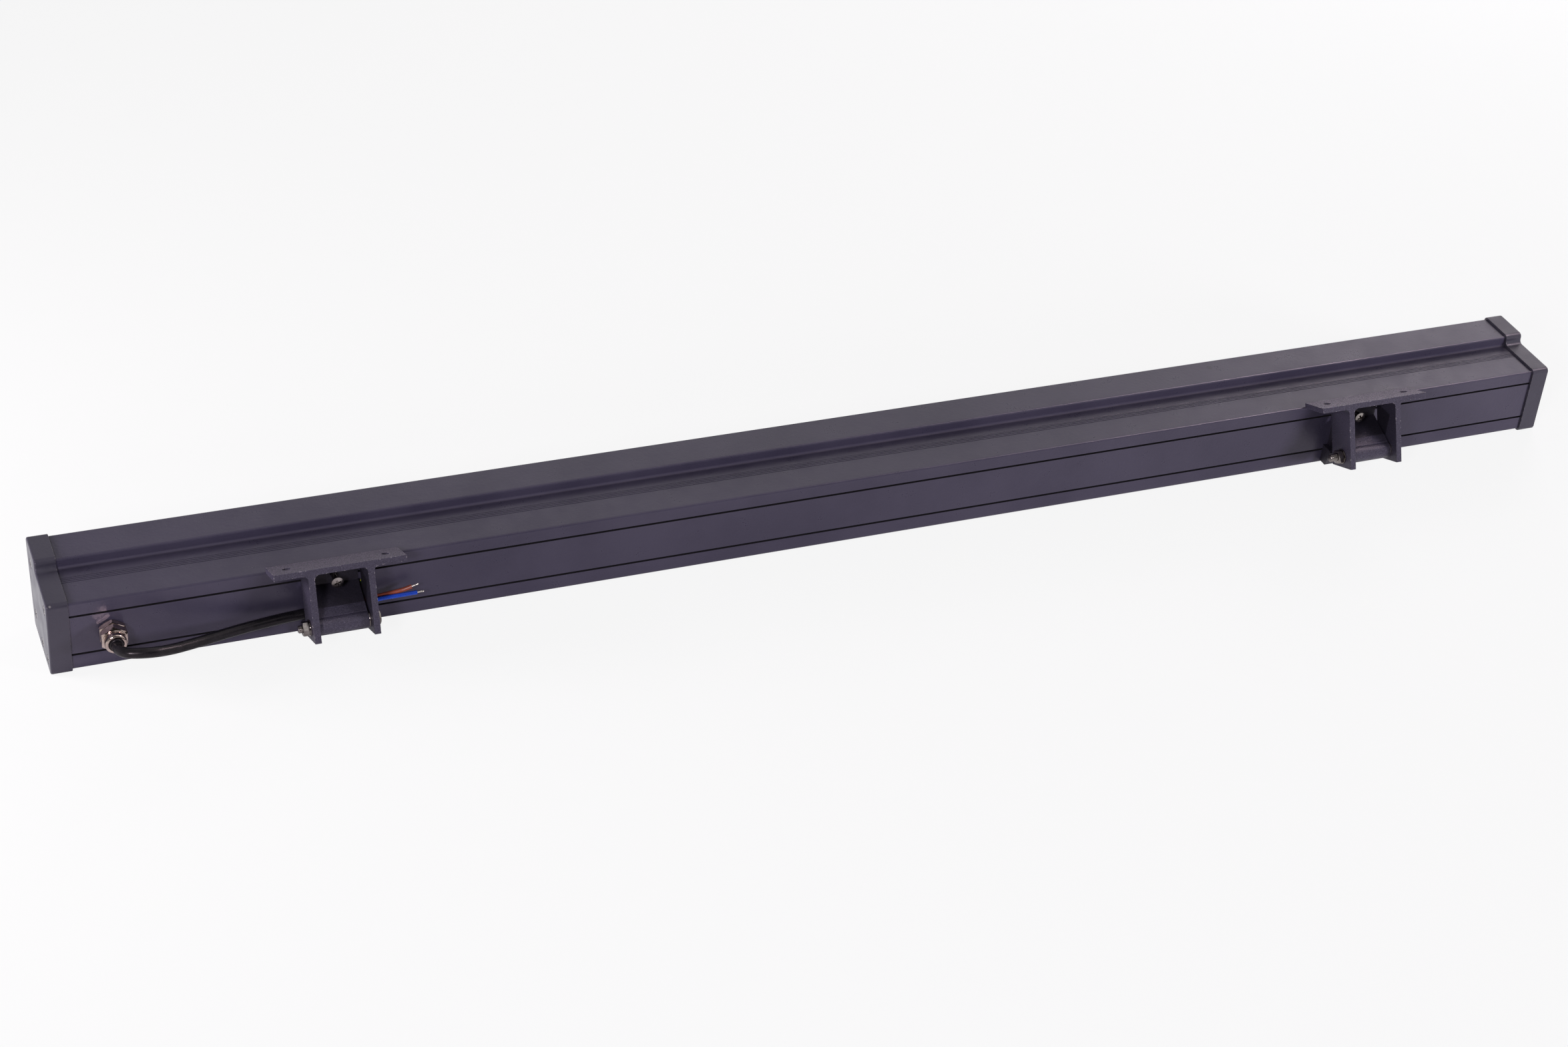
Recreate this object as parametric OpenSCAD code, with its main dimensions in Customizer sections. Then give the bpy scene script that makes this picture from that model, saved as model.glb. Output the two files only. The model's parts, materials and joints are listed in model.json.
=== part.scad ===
// Outdoor linear wall washer light on two tilting wall brackets.
// X runs along the case, Y from the bracket side to the window side, Z up.
// The origin is at mid-length, on the plane that the end caps rest on,
// under the middle of the depth of case and brackets together.

/* [Case] */
// Overall length over both end caps
case_length = 1000; // [600:10:1500]
// Depth over the end caps, at the top
case_depth = 63.5; // [60:0.5:72]
// Height of the end caps on the bracket side
case_height = 48.8; // [46:0.1:56]
// Depth of the raised head on the window side
head_depth = 28.3; // [25:0.1:34]
// Rise of the head over the rest of the top
head_rise = 6.5; // [3:0.1:12]
// Lean of the window side from upright, in degrees
face_tilt = 12; // [8:1:15]
// Wall of the extruded housing
housing_wall = 2.4; // [1.8:0.1:2.8]
// Corner radius of the housing
housing_corner = 1.3; // [0.5:0.1:2]
// Width of the two long grooves in the bracket side
groove_width = 1.2; // [0.8:0.1:1.6]
// Depth of the two long grooves
groove_depth = 3; // [2:0.1:3.4]
// Height of the lower groove's centre
groove_low = 11.7; // [10:0.1:13]
// Distance between the centres of the two grooves
groove_spacing = 26.5; // [24:0.1:28]

/* [End caps] */
// Length of an end cap along the case
cap_length = 12.4; // [9:0.1:18]
// Thickness of the cap's end wall
cap_wall = 3.4; // [2.5:0.1:4.5]
// How far the cap's rim stands out from the housing
cap_lip = 1.45; // [1:0.05:2]
// Corner radius of the cap's outline
cap_corner = 3; // [1.5:0.1:4]
// Rounding of the cap's outer edge
cap_edge = 0.8; // [0.3:0.1:1.2]
// Thickness of the end gasket
gasket_thickness = 1.5; // [1:0.1:2.5]
// Shank radius of the cap screws
cap_screw_r = 1.5; // [1.2:0.1:1.7]
// Head radius of the cap screws
cap_screw_head_r = 3; // [2.4:0.1:3.3]
// Length of the cap screws
cap_screw_length = 16; // [12:1:25]

/* [Window and optics] */
// Height of the clear window
window_height = 24; // [20:0.5:25]
// Thickness of the window glass
glass_thickness = 4; // [3:0.1:4.5]
// Overlap of the glass behind the window's edges
glass_overlap = 3; // [2:0.1:4]
// Thickness of the glass seal
seal_thickness = 0.5; // [0.3:0.1:0.8]
// Depth of the lamp chamber behind the glass
chamber_depth = 16; // [14:0.1:18]
// Spacing of the lamps
lamp_pitch = 40; // [30:1:44]
// Radius of a lens at its mouth
lens_r = 10.4; // [8:0.1:10.8]
// Length of a lens
lens_length = 11; // [8:0.1:12]
// Thickness of the circuit boards
board_thickness = 1.6; // [1:0.1:2]

/* [Cable gland] */
// Distance of the gland from the left end of the case
gland_from_end = 35.6; // [30:0.1:60]
// Width across the flats of the gland's hexagons
gland_flats = 14.6; // [13:0.1:16]
// Length of the body's hexagon
gland_hex_length = 4; // [3:0.1:6]
// Length of the dome nut's hexagon
dome_hex_length = 5; // [4:0.1:7]
// Length of the dome in front of its hexagon
dome_length = 4.8; // [3:0.1:6]
// Radius of the gland's thread
gland_thread_r = 5.9; // [5:0.1:6.2]
// Radius of the supply cable
cable_r = 3.1; // [2.5:0.05:3.3]
// Radius of a core with its insulation
core_r = 1.3; // [1:0.05:1.4]
// Radius of a tinned core end
strand_r = 0.5; // [0.3:0.05:0.7]

/* [Brackets] */
// Distance of the left bracket's middle from the left end of the case
left_bracket_inset = 163.2; // [155:0.1:200]
// Distance of the right bracket's middle from the right end of the case
right_bracket_inset = 150.3; // [80:0.1:200]
// Length of the bracket's plate
plate_length = 77.5; // [74:0.5:90]
// Width of the bracket
bracket_width = 22.2; // [18:0.1:24]
// Thickness of the bracket's plate
plate_thickness = 3.5; // [2.5:0.1:5]
// Thickness of the bracket's legs
leg_thickness = 3.75; // [3:0.05:5]
// Length of the legs under the plate
leg_length = 40.2; // [38.5:0.1:43]
// Clear gap between the legs
leg_gap = 31; // [29:0.1:34]
// Radius in the corners of plate and legs
leg_fillet = 3; // [1:0.1:4]
// Distance between the two mounting holes
hole_spacing = 58; // [54:0.5:68]
// Radius of the mounting holes
hole_r = 2.35; // [2:0.05:3]
// Height of the plate's underside over the pivot
pivot_drop = 32.7; // [31:0.1:34]
// Distance of the pivot from the bracket's front edge
pivot_from_front = 10.4; // [8:0.1:11]
// Tilt of the bracket at rest, in degrees
rest_tilt = 22.6; // [10:0.1:24]

/* [Hinges] */
// Distance of the pivot in front of the caps
pivot_out = 22.1; // [20:0.1:26]
// Height of the pivot over the resting plane
pivot_height = 21.3; // [20:0.1:24]
// Radius of the arm's barrel
barrel_r = 5.6; // [4.5:0.1:6.5]
// Width of the hinge arm
arm_width = 29.6; // [27:0.1:30]
// Width of the arm's foot
foot_width = 37.2; // [32:0.1:37.4]
// Thickness of the arm's flange
flange_thickness = 3; // [2.5:0.1:4]
// Thickness of the arm's upper web
upper_web = 3.5; // [2.5:0.1:4.5]
// Thickness of the arm's lower web
lower_web = 3; // [2:0.1:3.4]
// Slope of the upper web, in degrees
upper_slope = 21.5; // [18:0.5:24]
// Slope of the lower web, in degrees
lower_slope = 14; // [10:0.5:18]
// Radius of the pivot bolt
bolt_r = 2.5; // [2:0.05:3]
// Radial play of the bolt in the barrel
bolt_play = 0.08; // [0.02:0.01:0.1]
// Radius of the arm screw's thread
arm_screw_r = 1.95; // [1.5:0.05:2]
// Radius of the arm screw's head
arm_screw_head_r = 3.6; // [3.2:0.1:4.4]

/* [Hidden] */

$fn = 48;
// Overrun of the cuts
over = 1;
// Clearance round shanks in holes and of loose fits inside the case
fit_gap = 0.05;
// Clearance of parts that slide in along the case
slide_gap = 0.2;
// Steps in a rounded corner of an outline
corner_steps = 5;

// Colours of the finishes
paint = [0.22, 0.225, 0.26];
cap_paint = [0.24, 0.25, 0.28];
bracket_paint = [0.2, 0.205, 0.24];
bright = [0.72, 0.7, 0.68];
black = [0.06, 0.06, 0.07];

// Heights and depths of the case
head_height = case_height + head_rise;
face_foot = case_depth - head_height * tan(face_tilt);
groove_high = groove_low + groove_spacing;
near_face = cap_lip;
inner_near = cap_lip + housing_wall;
housing_length = case_length - 2 * (cap_wall + gasket_thickness);

// Distances behind the window side, measured square to it
window_lip = 1.2;
board_wall = 3.2;
glass_front = cap_lip + window_lip + seal_thickness;
glass_back = glass_front + glass_thickness;
slot_front = glass_front - seal_thickness;
slot_back = glass_back + seal_thickness;
board_wall_front = slot_back + chamber_depth;
board_wall_back = board_wall_front + board_wall;

// Heights along the window side
window_drop = 0.45;
chamber_step = 0.4;
window_middle = head_height / 2 - window_drop;
glass_height = window_height + 2 * glass_overlap;
slot_height = glass_height + 2 * seal_thickness;
chamber_height = window_height + 2 * chamber_step;

// Bracket and pivot
pivot_y = -pivot_out;
pivot_z = pivot_height;
back_of_pivot = bracket_width - pivot_from_front;
bracket_reach = pivot_out + pivot_from_front * cos(rest_tilt)
    + (leg_length - pivot_drop) * sin(rest_tilt);
// The rounded corner keeps the caps' window side a little short of the full depth
case_back = case_depth - cap_corner * (tan(face_tilt) + 1 / cos(face_tilt) - 1);
origin_y = (case_back - bracket_reach) / 2;
leg_outer = leg_gap / 2 + leg_thickness;
left_x = left_bracket_inset - case_length / 2;
right_x = case_length / 2 - right_bracket_inset;

// Gland places along its axis, counted from the housing's face
gland_x = gland_from_end - case_length / 2;
gland_z = groove_low + groove_spacing / 2;
o_ring_squash = 0.8;
gland_thread_in = 4.5;
gland_hex_front = o_ring_squash + gland_hex_length;
dome_back = gland_hex_front + slide_gap;
dome_front = dome_back + dome_hex_length + dome_length;

function unit(v) = v / norm(v);

// Points of a corner at b, between a and c, rounded to radius r
function rounded(a, b, c, r) =
    let (u = unit(a - b), v = unit(c - b), half = acos(u * v) / 2,
         centre = b + unit(u + v) * r / sin(half),
         first = atan2((b + u * r / tan(half) - centre)[1], (b + u * r / tan(half) - centre)[0]),
         last = atan2((b + v * r / tan(half) - centre)[1], (b + v * r / tan(half) - centre)[0]),
         turn = (last - first + 540) % 360 - 180)
    [for (i = [0:corner_steps]) let (t = first + turn * i / corner_steps)
        centre + r * [cos(t), sin(t)]];

// A closed outline with every corner rounded, its points in [depth, height]
function rounded_outline(p, r) =
    [for (i = [0:len(p) - 1]) each rounded(p[(i + len(p) - 1) % len(p)], p[i], p[(i + 1) % len(p)], r)];

// Corners of the case's section, drawn in from the caps' outside
function section(inset) =
    let (shift = inset / cos(face_tilt))
    [[inset, inset],
     [face_foot + inset * tan(face_tilt) - shift, inset],
     [face_foot + (head_height - inset) * tan(face_tilt) - shift, head_height - inset],
     [case_depth - head_depth + inset, head_height - inset],
     [case_depth - head_depth + inset, case_height - inset],
     [inset, case_height - inset]];

// A section in the Y-Z plane made into a bar that runs from x0 to x1
module along_x(x0, x1) {
    translate([x0, 0, 0]) rotate([90, 0, 90]) linear_extrude(x1 - x0) children();
}

// The plane of the window side: first axis outwards, second axis up along it
module face_plane() {
    translate([face_foot, 0]) rotate(-face_tilt) children();
}

// Solids whose Z axis points out of the window side, at a distance behind it
module on_face(x, height, behind) {
    translate([x, face_foot, 0]) rotate([-face_tilt, 0, 0]) translate([0, -behind, height])
        rotate([-90, 0, 0]) children();
}

// The part's own frame
module placed() {
    translate([0, -origin_y, 0]) children();
}

// Housing

cap_screw_near = 7.4;
cap_screw_low = 7;
cap_screw_mid = 24;
cap_screw_margin = 0.4;
cap_screw_behind = slot_back + cap_screw_head_r + cap_screw_margin;
cap_screw_off_window = chamber_height / 2 + cap_screw_head_r + cap_screw_margin;
boss_wall = 1.75;
boss_r = cap_screw_r + boss_wall;

// Places of the cap screws that stand on the section's own axes
near_screws = [[cap_screw_near, cap_screw_low], [cap_screw_mid, cap_screw_low],
    [cap_screw_near, case_height - cap_screw_near]];
// Heights of the cap screws beside the window
face_screws = [window_middle - cap_screw_off_window, window_middle + cap_screw_off_window];

module cap_screw_places() {
    for (p = near_screws) translate(p) children();
    for (h = face_screws) face_plane() translate([-cap_screw_behind, h]) children();
}

module driver_chamber() {
    difference() {
        intersection() {
            polygon(rounded_outline(section(cap_lip + housing_wall), housing_corner));
            face_plane() translate([-board_wall_back - case_depth, -case_depth])
                square([case_depth, 3 * case_depth]);
        }
        for (p = near_screws) translate(p) circle(boss_r);
        // Fills the corner under the middle boss
        translate([cap_screw_mid, 0]) square([boss_r, cap_screw_low]);
        // Thicker wall behind each groove
        for (z = [groove_low, groove_high])
            translate([0, z - groove_width - housing_wall / 2])
                square([near_face + groove_depth + housing_wall / 2, 2 * groove_width + housing_wall]);
    }
}

// Hollow of the head over the lamp chamber
module head_hollow() {
    floor_at = window_middle + cap_screw_off_window + boss_r;
    intersection() {
        polygon(rounded_outline(section(cap_lip + housing_wall), housing_corner));
        face_plane() translate([-board_wall_front, floor_at]) square([case_depth, case_depth]);
    }
}

module housing_section() {
    difference() {
        polygon(rounded_outline(section(cap_lip), housing_corner));
        driver_chamber();
        head_hollow();
        face_plane() {
            translate([-board_wall_front, window_middle - chamber_height / 2])
                square([chamber_depth + seal_thickness, chamber_height]);
            translate([-slot_back, window_middle - slot_height / 2])
                square([slot_back - slot_front, slot_height]);
            translate([-slot_back, window_middle - window_height / 2])
                square([slot_back + over, window_height]);
        }
        for (z = [groove_low, groove_high])
            translate([near_face - over, z - groove_width / 2]) square([groove_depth + over, groove_width]);
        cap_screw_places() circle(cap_screw_r + fit_gap);
        fine_lines();
    }
}

// Four fine grip lines along the lower top, between the near edge and the head
line_width = 0.5;
line_depth = 0.3;
line_pitch = 1.5;
line_share = 0.62;
lines_at = (case_depth - head_depth) * line_share;

module fine_lines() {
    for (i = [0:3])
        translate([lines_at + i * line_pitch, case_height - cap_lip - line_depth])
            square([line_width, line_depth + over]);
}

module housing() {
    color(paint) placed() difference() {
        along_x(-housing_length / 2, housing_length / 2) housing_section();
        // Hole for the cable gland
        translate([gland_x, near_face - over, gland_z]) rotate([-90, 0, 0])
            cylinder(r = gland_thread_r + fit_gap, h = housing_wall + 2 * over);
        // Pilot holes of the arm screws
        for (x = [left_x, right_screw_x])
            translate([x, near_face - over, arm_screw_z]) rotate([-90, 0, 0])
                cylinder(r = arm_screw_r + fit_gap, h = over + groove_depth + slide_gap);
        // Pilot holes of the tray screws
        for (x = tray_screw_x) translate([x, tray_screw_y, tray_z - tray_screw_bite])
            cylinder(r = small_screw_r + fit_gap, h = tray_screw_bite + over);
        // Way for the lamps' leads
        on_face(lead_hole_x, window_middle, board_wall_back + over)
            cylinder(r = lead_hole_r, h = board_wall + 2 * over);
        for (x = board_screw_xs) on_face(x, window_middle, board_wall_back + over)
            cylinder(r = board_screw_r + fit_gap, h = board_wall + 2 * over);
    }
}

// End caps and gaskets

edge_steps = 3;

module cap_outline(inset) {
    polygon(rounded_outline(section(inset), cap_corner - inset));
}

// The cap of the end at positive X; the other end is its mirror image
module end_cap() {
    outer = case_length / 2;
    difference() {
        union() {
            along_x(outer - cap_length, outer - cap_edge) cap_outline(0);
            // The outer edge rounds off in thin steps
            for (i = [1:edge_steps]) let (step = cap_edge / edge_steps, out = (i - 0.5) / edge_steps)
                along_x(outer - cap_edge, outer - cap_edge + i * step)
                    cap_outline(cap_edge * (1 - sqrt(1 - out * out)));
        }
        along_x(outer - cap_length - over, outer - cap_wall)
            polygon(rounded_outline(section(cap_lip - fit_gap), housing_corner));
        along_x(outer - cap_wall - over, outer + over) cap_screw_places() circle(cap_screw_r + 2 * slide_gap);
        place_cap_screws(outer) cylinder(r1 = cap_screw_r + 2 * slide_gap, r2 = cap_screw_head_r + fit_gap,
            h = cap_screw_head_r - cap_screw_r);
    }
}

// Puts a child at each cap screw's mouth, with Z along +X
module place_cap_screws(outer) {
    head = cap_screw_head_r - cap_screw_r;
    for (p = near_screws) translate([outer - head, p[0], p[1]]) rotate([0, 90, 0]) children();
    for (h = face_screws)
        translate([outer - head, face_foot, 0]) rotate([-face_tilt, 0, 0])
            translate([0, -cap_screw_behind, h]) rotate([0, 90, 0]) children();
}

module end_cap_left() { color(cap_paint) placed() mirror([1, 0, 0]) end_cap(); }
module end_cap_right() { color(cap_paint) placed() end_cap(); }

module end_gasket() {
    x0 = housing_length / 2;
    along_x(x0, x0 + gasket_thickness) difference() {
        polygon(rounded_outline(section(cap_lip + fit_gap), housing_corner));
        driver_chamber();
        cap_screw_places() circle(cap_screw_r + slide_gap);
    }
}

module end_gasket_left() { color(black) placed() mirror([1, 0, 0]) end_gasket(); }
module end_gasket_right() { color(black) placed() end_gasket(); }

module cap_screws() {
    head = cap_screw_head_r - cap_screw_r;
    place_cap_screws(case_length / 2) {
        difference() {
            union() {
                cylinder(r1 = cap_screw_r, r2 = cap_screw_head_r, h = head);
                translate([0, 0, head - cap_screw_length]) cylinder(r = cap_screw_r, h = cap_screw_length);
            }
            cross_recess(cap_screw_head_r, head);
        }
    }
}

recess_length_share = 1.1;
recess_width_share = 0.28;
recess_depth_share = 0.4;

// Cross-shaped recess in a head whose top is at height top
module cross_recess(head_r, top) {
    arm = head_r * recess_length_share;
    width = head_r * recess_width_share;
    depth = head_r * recess_depth_share;
    for (a = [0, 90]) rotate([0, 0, a])
        translate([-arm / 2, -width / 2, top - depth]) cube([arm, width, depth + over]);
}

module cap_screws_left() { color(bright) placed() mirror([1, 0, 0]) cap_screws(); }
module cap_screws_right() { color(bright) placed() cap_screws(); }

// Window, boards and lenses

module face_bar(x0, x1, behind, thickness, height) {
    along_x(x0, x1) face_plane() translate([-behind - thickness, window_middle - height / 2])
        square([thickness, height]);
}

module window_glass() {
    half = housing_length / 2;
    color([0.75, 0.85, 0.9, 0.4]) placed() face_bar(-half, half, glass_front, glass_thickness, glass_height);
}

module glass_seal() {
    half = housing_length / 2;
    color(black) placed() along_x(-half, half) face_plane() difference() {
        translate([-slot_back + fit_gap, window_middle - slot_height / 2 + fit_gap])
            square([slot_back - slot_front - 2 * fit_gap, slot_height - 2 * fit_gap]);
        translate([-glass_back, window_middle - glass_height / 2]) square([glass_thickness, glass_height]);
        translate([-slot_back - over, window_middle - window_height / 2])
            square([slot_back + 2 * over, window_height]);
    }
}

board_end_gap = 12;
lamps_per_board = floor((housing_length / 2 - board_end_gap) / lamp_pitch);
pad_thickness = 0.5;
pad_margin = 0.5;
board_back = board_wall_front - pad_thickness;
board_front = board_back - board_thickness;
board_width = chamber_height - 2 * slide_gap;
board_length = lamps_per_board * lamp_pitch - slide_gap;
chip_size = 3.5;
chip_height = 0.9;
lamp_xs = [for (side = [-1, 1], i = [0:lamps_per_board - 1]) side * (i + 0.5) * lamp_pitch];
lens_back = board_front - chip_height - fit_gap;
lens_front = lens_back - lens_length;
lens_rim = 0.8;
lens_rim_height = 1;
lens_foot_r = 4;
carrier_thickness = 1.2;
carrier_length = 2 * lamps_per_board * lamp_pitch;
board_screw_r = 1.5;
board_screw_head_r = 2.8;
board_screw_head = 2;
board_screw_length = 5;
screws_per_board = 4;
board_screw_step = floor((lamps_per_board - 2) / (screws_per_board - 1));
board_screw_xs = [for (side = [-1, 1], i = [0:screws_per_board - 1])
    side * (1 + i * board_screw_step) * lamp_pitch];

module board(side) {
    x0 = side > 0 ? slide_gap : -slide_gap - board_length;
    difference() {
        face_bar(x0, x0 + board_length, board_front, board_thickness, board_width);
        for (x = board_screw_xs) on_face(x, window_middle, board_back + over)
            cylinder(r = board_screw_r + slide_gap, h = board_thickness + 2 * over);
        on_face(lead_hole_x, window_middle, board_back + over)
            cylinder(r = lead_hole_r, h = board_thickness + 2 * over);
    }
}

module thermal_pad() {
    color([0.7, 0.72, 0.75]) placed() difference() {
        face_bar(-carrier_length / 2, carrier_length / 2, board_back, pad_thickness,
            board_width - 2 * pad_margin);
        for (x = board_screw_xs) on_face(x, window_middle, board_wall_front + over)
            cylinder(r = board_screw_r + slide_gap, h = pad_thickness + 2 * over);
        on_face(lead_hole_x, window_middle, board_wall_front + over)
            cylinder(r = lead_hole_r, h = pad_thickness + 2 * over);
    }
}

module led_board_left() { color("white") placed() board(-1); }
module led_board_right() { color("white") placed() board(1); }

module led_chips() {
    color([0.95, 0.85, 0.35]) placed() for (x = lamp_xs) on_face(x, window_middle, board_front)
        translate([-chip_size / 2, -chip_size / 2, 0]) cube([chip_size, chip_size, chip_height]);
}

module lens_carrier() {
    color(black) placed() difference() {
        along_x(-carrier_length / 2, carrier_length / 2) face_plane()
            translate([-board_front, window_middle - board_width / 2]) difference() {
                square([board_front - lens_front - lens_rim_height, board_width]);
                translate([-over, carrier_thickness])
                    square([board_front - lens_front - lens_rim_height - carrier_thickness + over,
                        board_width - 2 * carrier_thickness]);
            }
        for (x = lamp_xs) on_face(x, window_middle, board_front)
            cylinder(r = lens_r + slide_gap, h = board_front - lens_front + over);
    }
}

module lenses() {
    color([0.85, 0.9, 0.95, 0.6]) placed() for (x = lamp_xs) on_face(x, window_middle, lens_back) {
        cylinder(r1 = lens_foot_r, r2 = lens_r, h = lens_length - lens_rim_height);
        translate([0, 0, lens_length - lens_rim_height]) cylinder(r = lens_r + lens_rim, h = lens_rim_height);
    }
}

module board_screws() {
    color(bright) placed() for (x = board_screw_xs) on_face(x, window_middle, board_front) difference() {
        union() {
            cylinder(r = board_screw_head_r, h = board_screw_head);
            translate([0, 0, -board_screw_length]) cylinder(r = board_screw_r, h = board_screw_length);
        }
        cross_recess(board_screw_head_r, board_screw_head);
    }
}

// Driver, terminals and inner leads

tray_thickness = 1.5;
tray_z = cap_screw_low + boss_r;
tray_top = tray_z + tray_thickness;
tray_near = near_face + groove_depth + housing_wall / 2 + slide_gap;
// Depth of the driver chamber's far wall at the tray, which leans out with height
tray_wall_y = face_foot + tray_z * tan(face_tilt) - board_wall_back / cos(face_tilt);
tray_depth = tray_wall_y - tray_near - 2 * slide_gap;
tray_edge = 4;
tray_from_gland = 24;
tray_x0 = gland_x + tray_from_gland;
driver_length = 210;
driver_depth = tray_depth - 2 * tray_thickness - slide_gap;
driver_height = 26;
driver_foot = 8;
driver_foot_height = 3;
driver_from_tray_end = 90;
driver_to_tray_end = 40;
tray_length = driver_from_tray_end + driver_length + driver_to_tray_end;
driver_x0 = tray_x0 + driver_from_tray_end;
driver_y0 = tray_near + tray_thickness + slide_gap;
driver_mid_y = driver_y0 + driver_depth / 2;
small_screw_r = 1.5;
small_screw_head_r = 2.8;
small_screw_head = 2;
tray_screw_x = [tray_x0 + driver_foot, tray_x0 + tray_length - driver_foot];
tray_screw_y = tray_near + tray_depth - small_screw_head_r;
tray_screw_bite = 1.2;
driver_screw_x = [driver_x0 - driver_foot / 2, driver_x0 + driver_length + driver_foot / 2];
// The leads' hole is the first place between two lamps past the driver that no board screw takes
lead_hole_r = 3;
lead_run = 12;
lead_hole_step = ceil((driver_x0 + driver_length + lead_run) / lamp_pitch);
lead_hole_taken = abs(lead_hole_step) % board_screw_step == 1;
lead_hole_x = lamp_pitch * (lead_hole_taken ? lead_hole_step + 1 : lead_hole_step);

module driver_tray() {
    color([0.75, 0.76, 0.78]) placed() difference() {
        union() {
            translate([tray_x0, tray_near, tray_z]) cube([tray_length, tray_depth, tray_thickness]);
            // Upright edge that stiffens the tray
            translate([tray_x0, tray_near, tray_z]) cube([tray_length, tray_thickness, tray_edge]);
        }
        for (x = tray_screw_x) translate([x, tray_screw_y, tray_z - over])
            cylinder(r = small_screw_r + fit_gap, h = tray_thickness + 2 * over);
        for (x = driver_screw_x) translate([x, driver_mid_y, tray_z - over])
            cylinder(r = small_screw_r + fit_gap, h = tray_thickness + 2 * over);
        translate([earth_x, driver_mid_y, tray_z - over])
            cylinder(r = small_screw_r + fit_gap, h = tray_thickness + 2 * over);
    }
}

// A pan-head screw, its head standing on z = 0
module pan_screw(length) {
    difference() {
        union() {
            cylinder(r = small_screw_head_r, h = small_screw_head);
            translate([0, 0, -length]) cylinder(r = small_screw_r, h = length);
        }
        cross_recess(small_screw_head_r, small_screw_head);
    }
}

module tray_screws() {
    color(bright) placed() for (x = tray_screw_x)
        translate([x, tray_screw_y, tray_top]) pan_screw(tray_thickness + tray_screw_bite);
}

module driver() {
    color([0.9, 0.9, 0.88]) placed() difference() {
        union() {
            translate([driver_x0, driver_y0, tray_top]) cube([driver_length, driver_depth, driver_height]);
            translate([driver_x0 - driver_foot, driver_y0, tray_top])
                cube([driver_length + 2 * driver_foot, driver_depth, driver_foot_height]);
        }
        for (x = driver_screw_x) translate([x, driver_mid_y, tray_top - over])
            cylinder(r = small_screw_r + slide_gap, h = driver_foot_height + 2 * over);
    }
}

module driver_screws() {
    color(bright) placed() for (x = driver_screw_x)
        translate([x, driver_mid_y, tray_top + driver_foot_height])
            pan_screw(driver_foot_height + tray_thickness);
}

block_length = 16;
block_side = 1;
block_pole = (driver_depth - 2 * block_side) / 3;
block_height = 12;
block_from_tray_end = 18;
block_x0 = tray_x0 + block_from_tray_end;
block_wire_z = tray_top + block_height / 2;
lead_share = 0.16;
lead_r = block_pole * lead_share;
lead_step = 2.8 * lead_r;
wire_bore_r = lead_r + slide_gap;
pole_ys = [for (i = [-1:1]) driver_mid_y + i * block_pole];

module terminal_block() {
    color([0.92, 0.92, 0.9]) placed() difference() {
        translate([block_x0, driver_mid_y - 1.5 * block_pole, tray_top])
            cube([block_length, 3 * block_pole, block_height]);
        for (y = pole_ys) {
            translate([block_x0 - over, y, block_wire_z]) rotate([0, 90, 0])
                cylinder(r = wire_bore_r, h = block_length + 2 * over);
            translate([block_x0 + block_length / 2, y, block_wire_z])
                cylinder(r = terminal_screw_r + slide_gap, h = block_height);
        }
    }
}

terminal_screw_share = 0.26;
terminal_screw_r = block_pole * terminal_screw_share;
terminal_screw_height = 3;
terminal_slot_share = 0.4;
terminal_slot = terminal_screw_r * terminal_slot_share;

module terminal_screws() {
    color(bright) placed() for (y = pole_ys)
        translate([block_x0 + block_length / 2, y, block_wire_z + wire_bore_r]) difference() {
            cylinder(r = terminal_screw_r, h = terminal_screw_height);
            translate([-terminal_screw_r, -terminal_slot / 2, terminal_screw_height - terminal_slot])
                cube([2 * terminal_screw_r, terminal_slot, terminal_slot + over]);
        }
}

earth_from_tray_end = 60;
earth_x = tray_x0 + earth_from_tray_end;
lug_thickness = 0.8;
lug_r = 4;
lug_barrel = 7;
lug_barrel_width = 2.6;

module earth_lug() {
    color([0.8, 0.78, 0.72]) placed() translate([earth_x, driver_mid_y, tray_top]) difference() {
        union() {
            cylinder(r = lug_r, h = lug_thickness);
            translate([-lug_r - lug_barrel, -lug_barrel_width / 2, 0])
                cube([lug_r + lug_barrel, lug_barrel_width, lug_thickness]);
        }
        translate([0, 0, -over]) cylinder(r = small_screw_r + slide_gap, h = lug_thickness + 2 * over);
    }
}

module earth_screw() {
    color(bright) placed() translate([earth_x, driver_mid_y, tray_top + lug_thickness])
        pan_screw(lug_thickness + tray_thickness);
}

// A tube swept along points, its rings square to the route
function tangent(p, i) = unit(p[min(i + 1, len(p) - 1)] - p[max(i - 1, 0)]);
function side_of(t) = unit(cross(t, abs(t[2]) > 0.9 ? [0, 1, 0] : [0, 0, 1]));

module tube(p, r, sides) {
    n = len(p);
    rings = [for (i = [0:n - 1]) let (t = tangent(p, i), u = side_of(t), v = cross(u, t))
        for (k = [0:sides - 1]) p[i] + r * (cos(360 * k / sides) * u + sin(360 * k / sides) * v)];
    walls = [for (i = [0:n - 2], k = [0:sides - 1]) let (a = i * sides + k, b = i * sides + (k + 1) % sides)
        each [[a, b, b + sides], [a, b + sides, a + sides]]];
    caps = [for (k = [1:sides - 2]) each [[0, k + 1, k],
        [(n - 1) * sides, (n - 1) * sides + k, (n - 1) * sides + k + 1]]];
    polyhedron(points = rings, faces = concat(walls, caps));
}

// A smooth route through the given points, with steps between each two
function spline_point(a, b, c, d, t) =
    0.5 * (2 * b + (c - a) * t + (2 * a - 5 * b + 4 * c - d) * t * t + (3 * b - a - 3 * c + d) * t * t * t);
function smooth(p, steps) =
    [for (i = [0:len(p) - 2], k = [0:steps - 1])
        spline_point(p[max(i - 1, 0)], p[i], p[i + 1], p[min(i + 2, len(p) - 1)], k / steps), p[len(p) - 1]];

// A bend that leaves a towards b and reaches d from c
function bend(a, b, c, d, steps) = [for (k = [0:steps]) let (t = k / steps, u = 1 - t)
    u * u * u * a + 3 * u * u * t * b + 3 * u * t * t * c + t * t * t * d];

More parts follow.
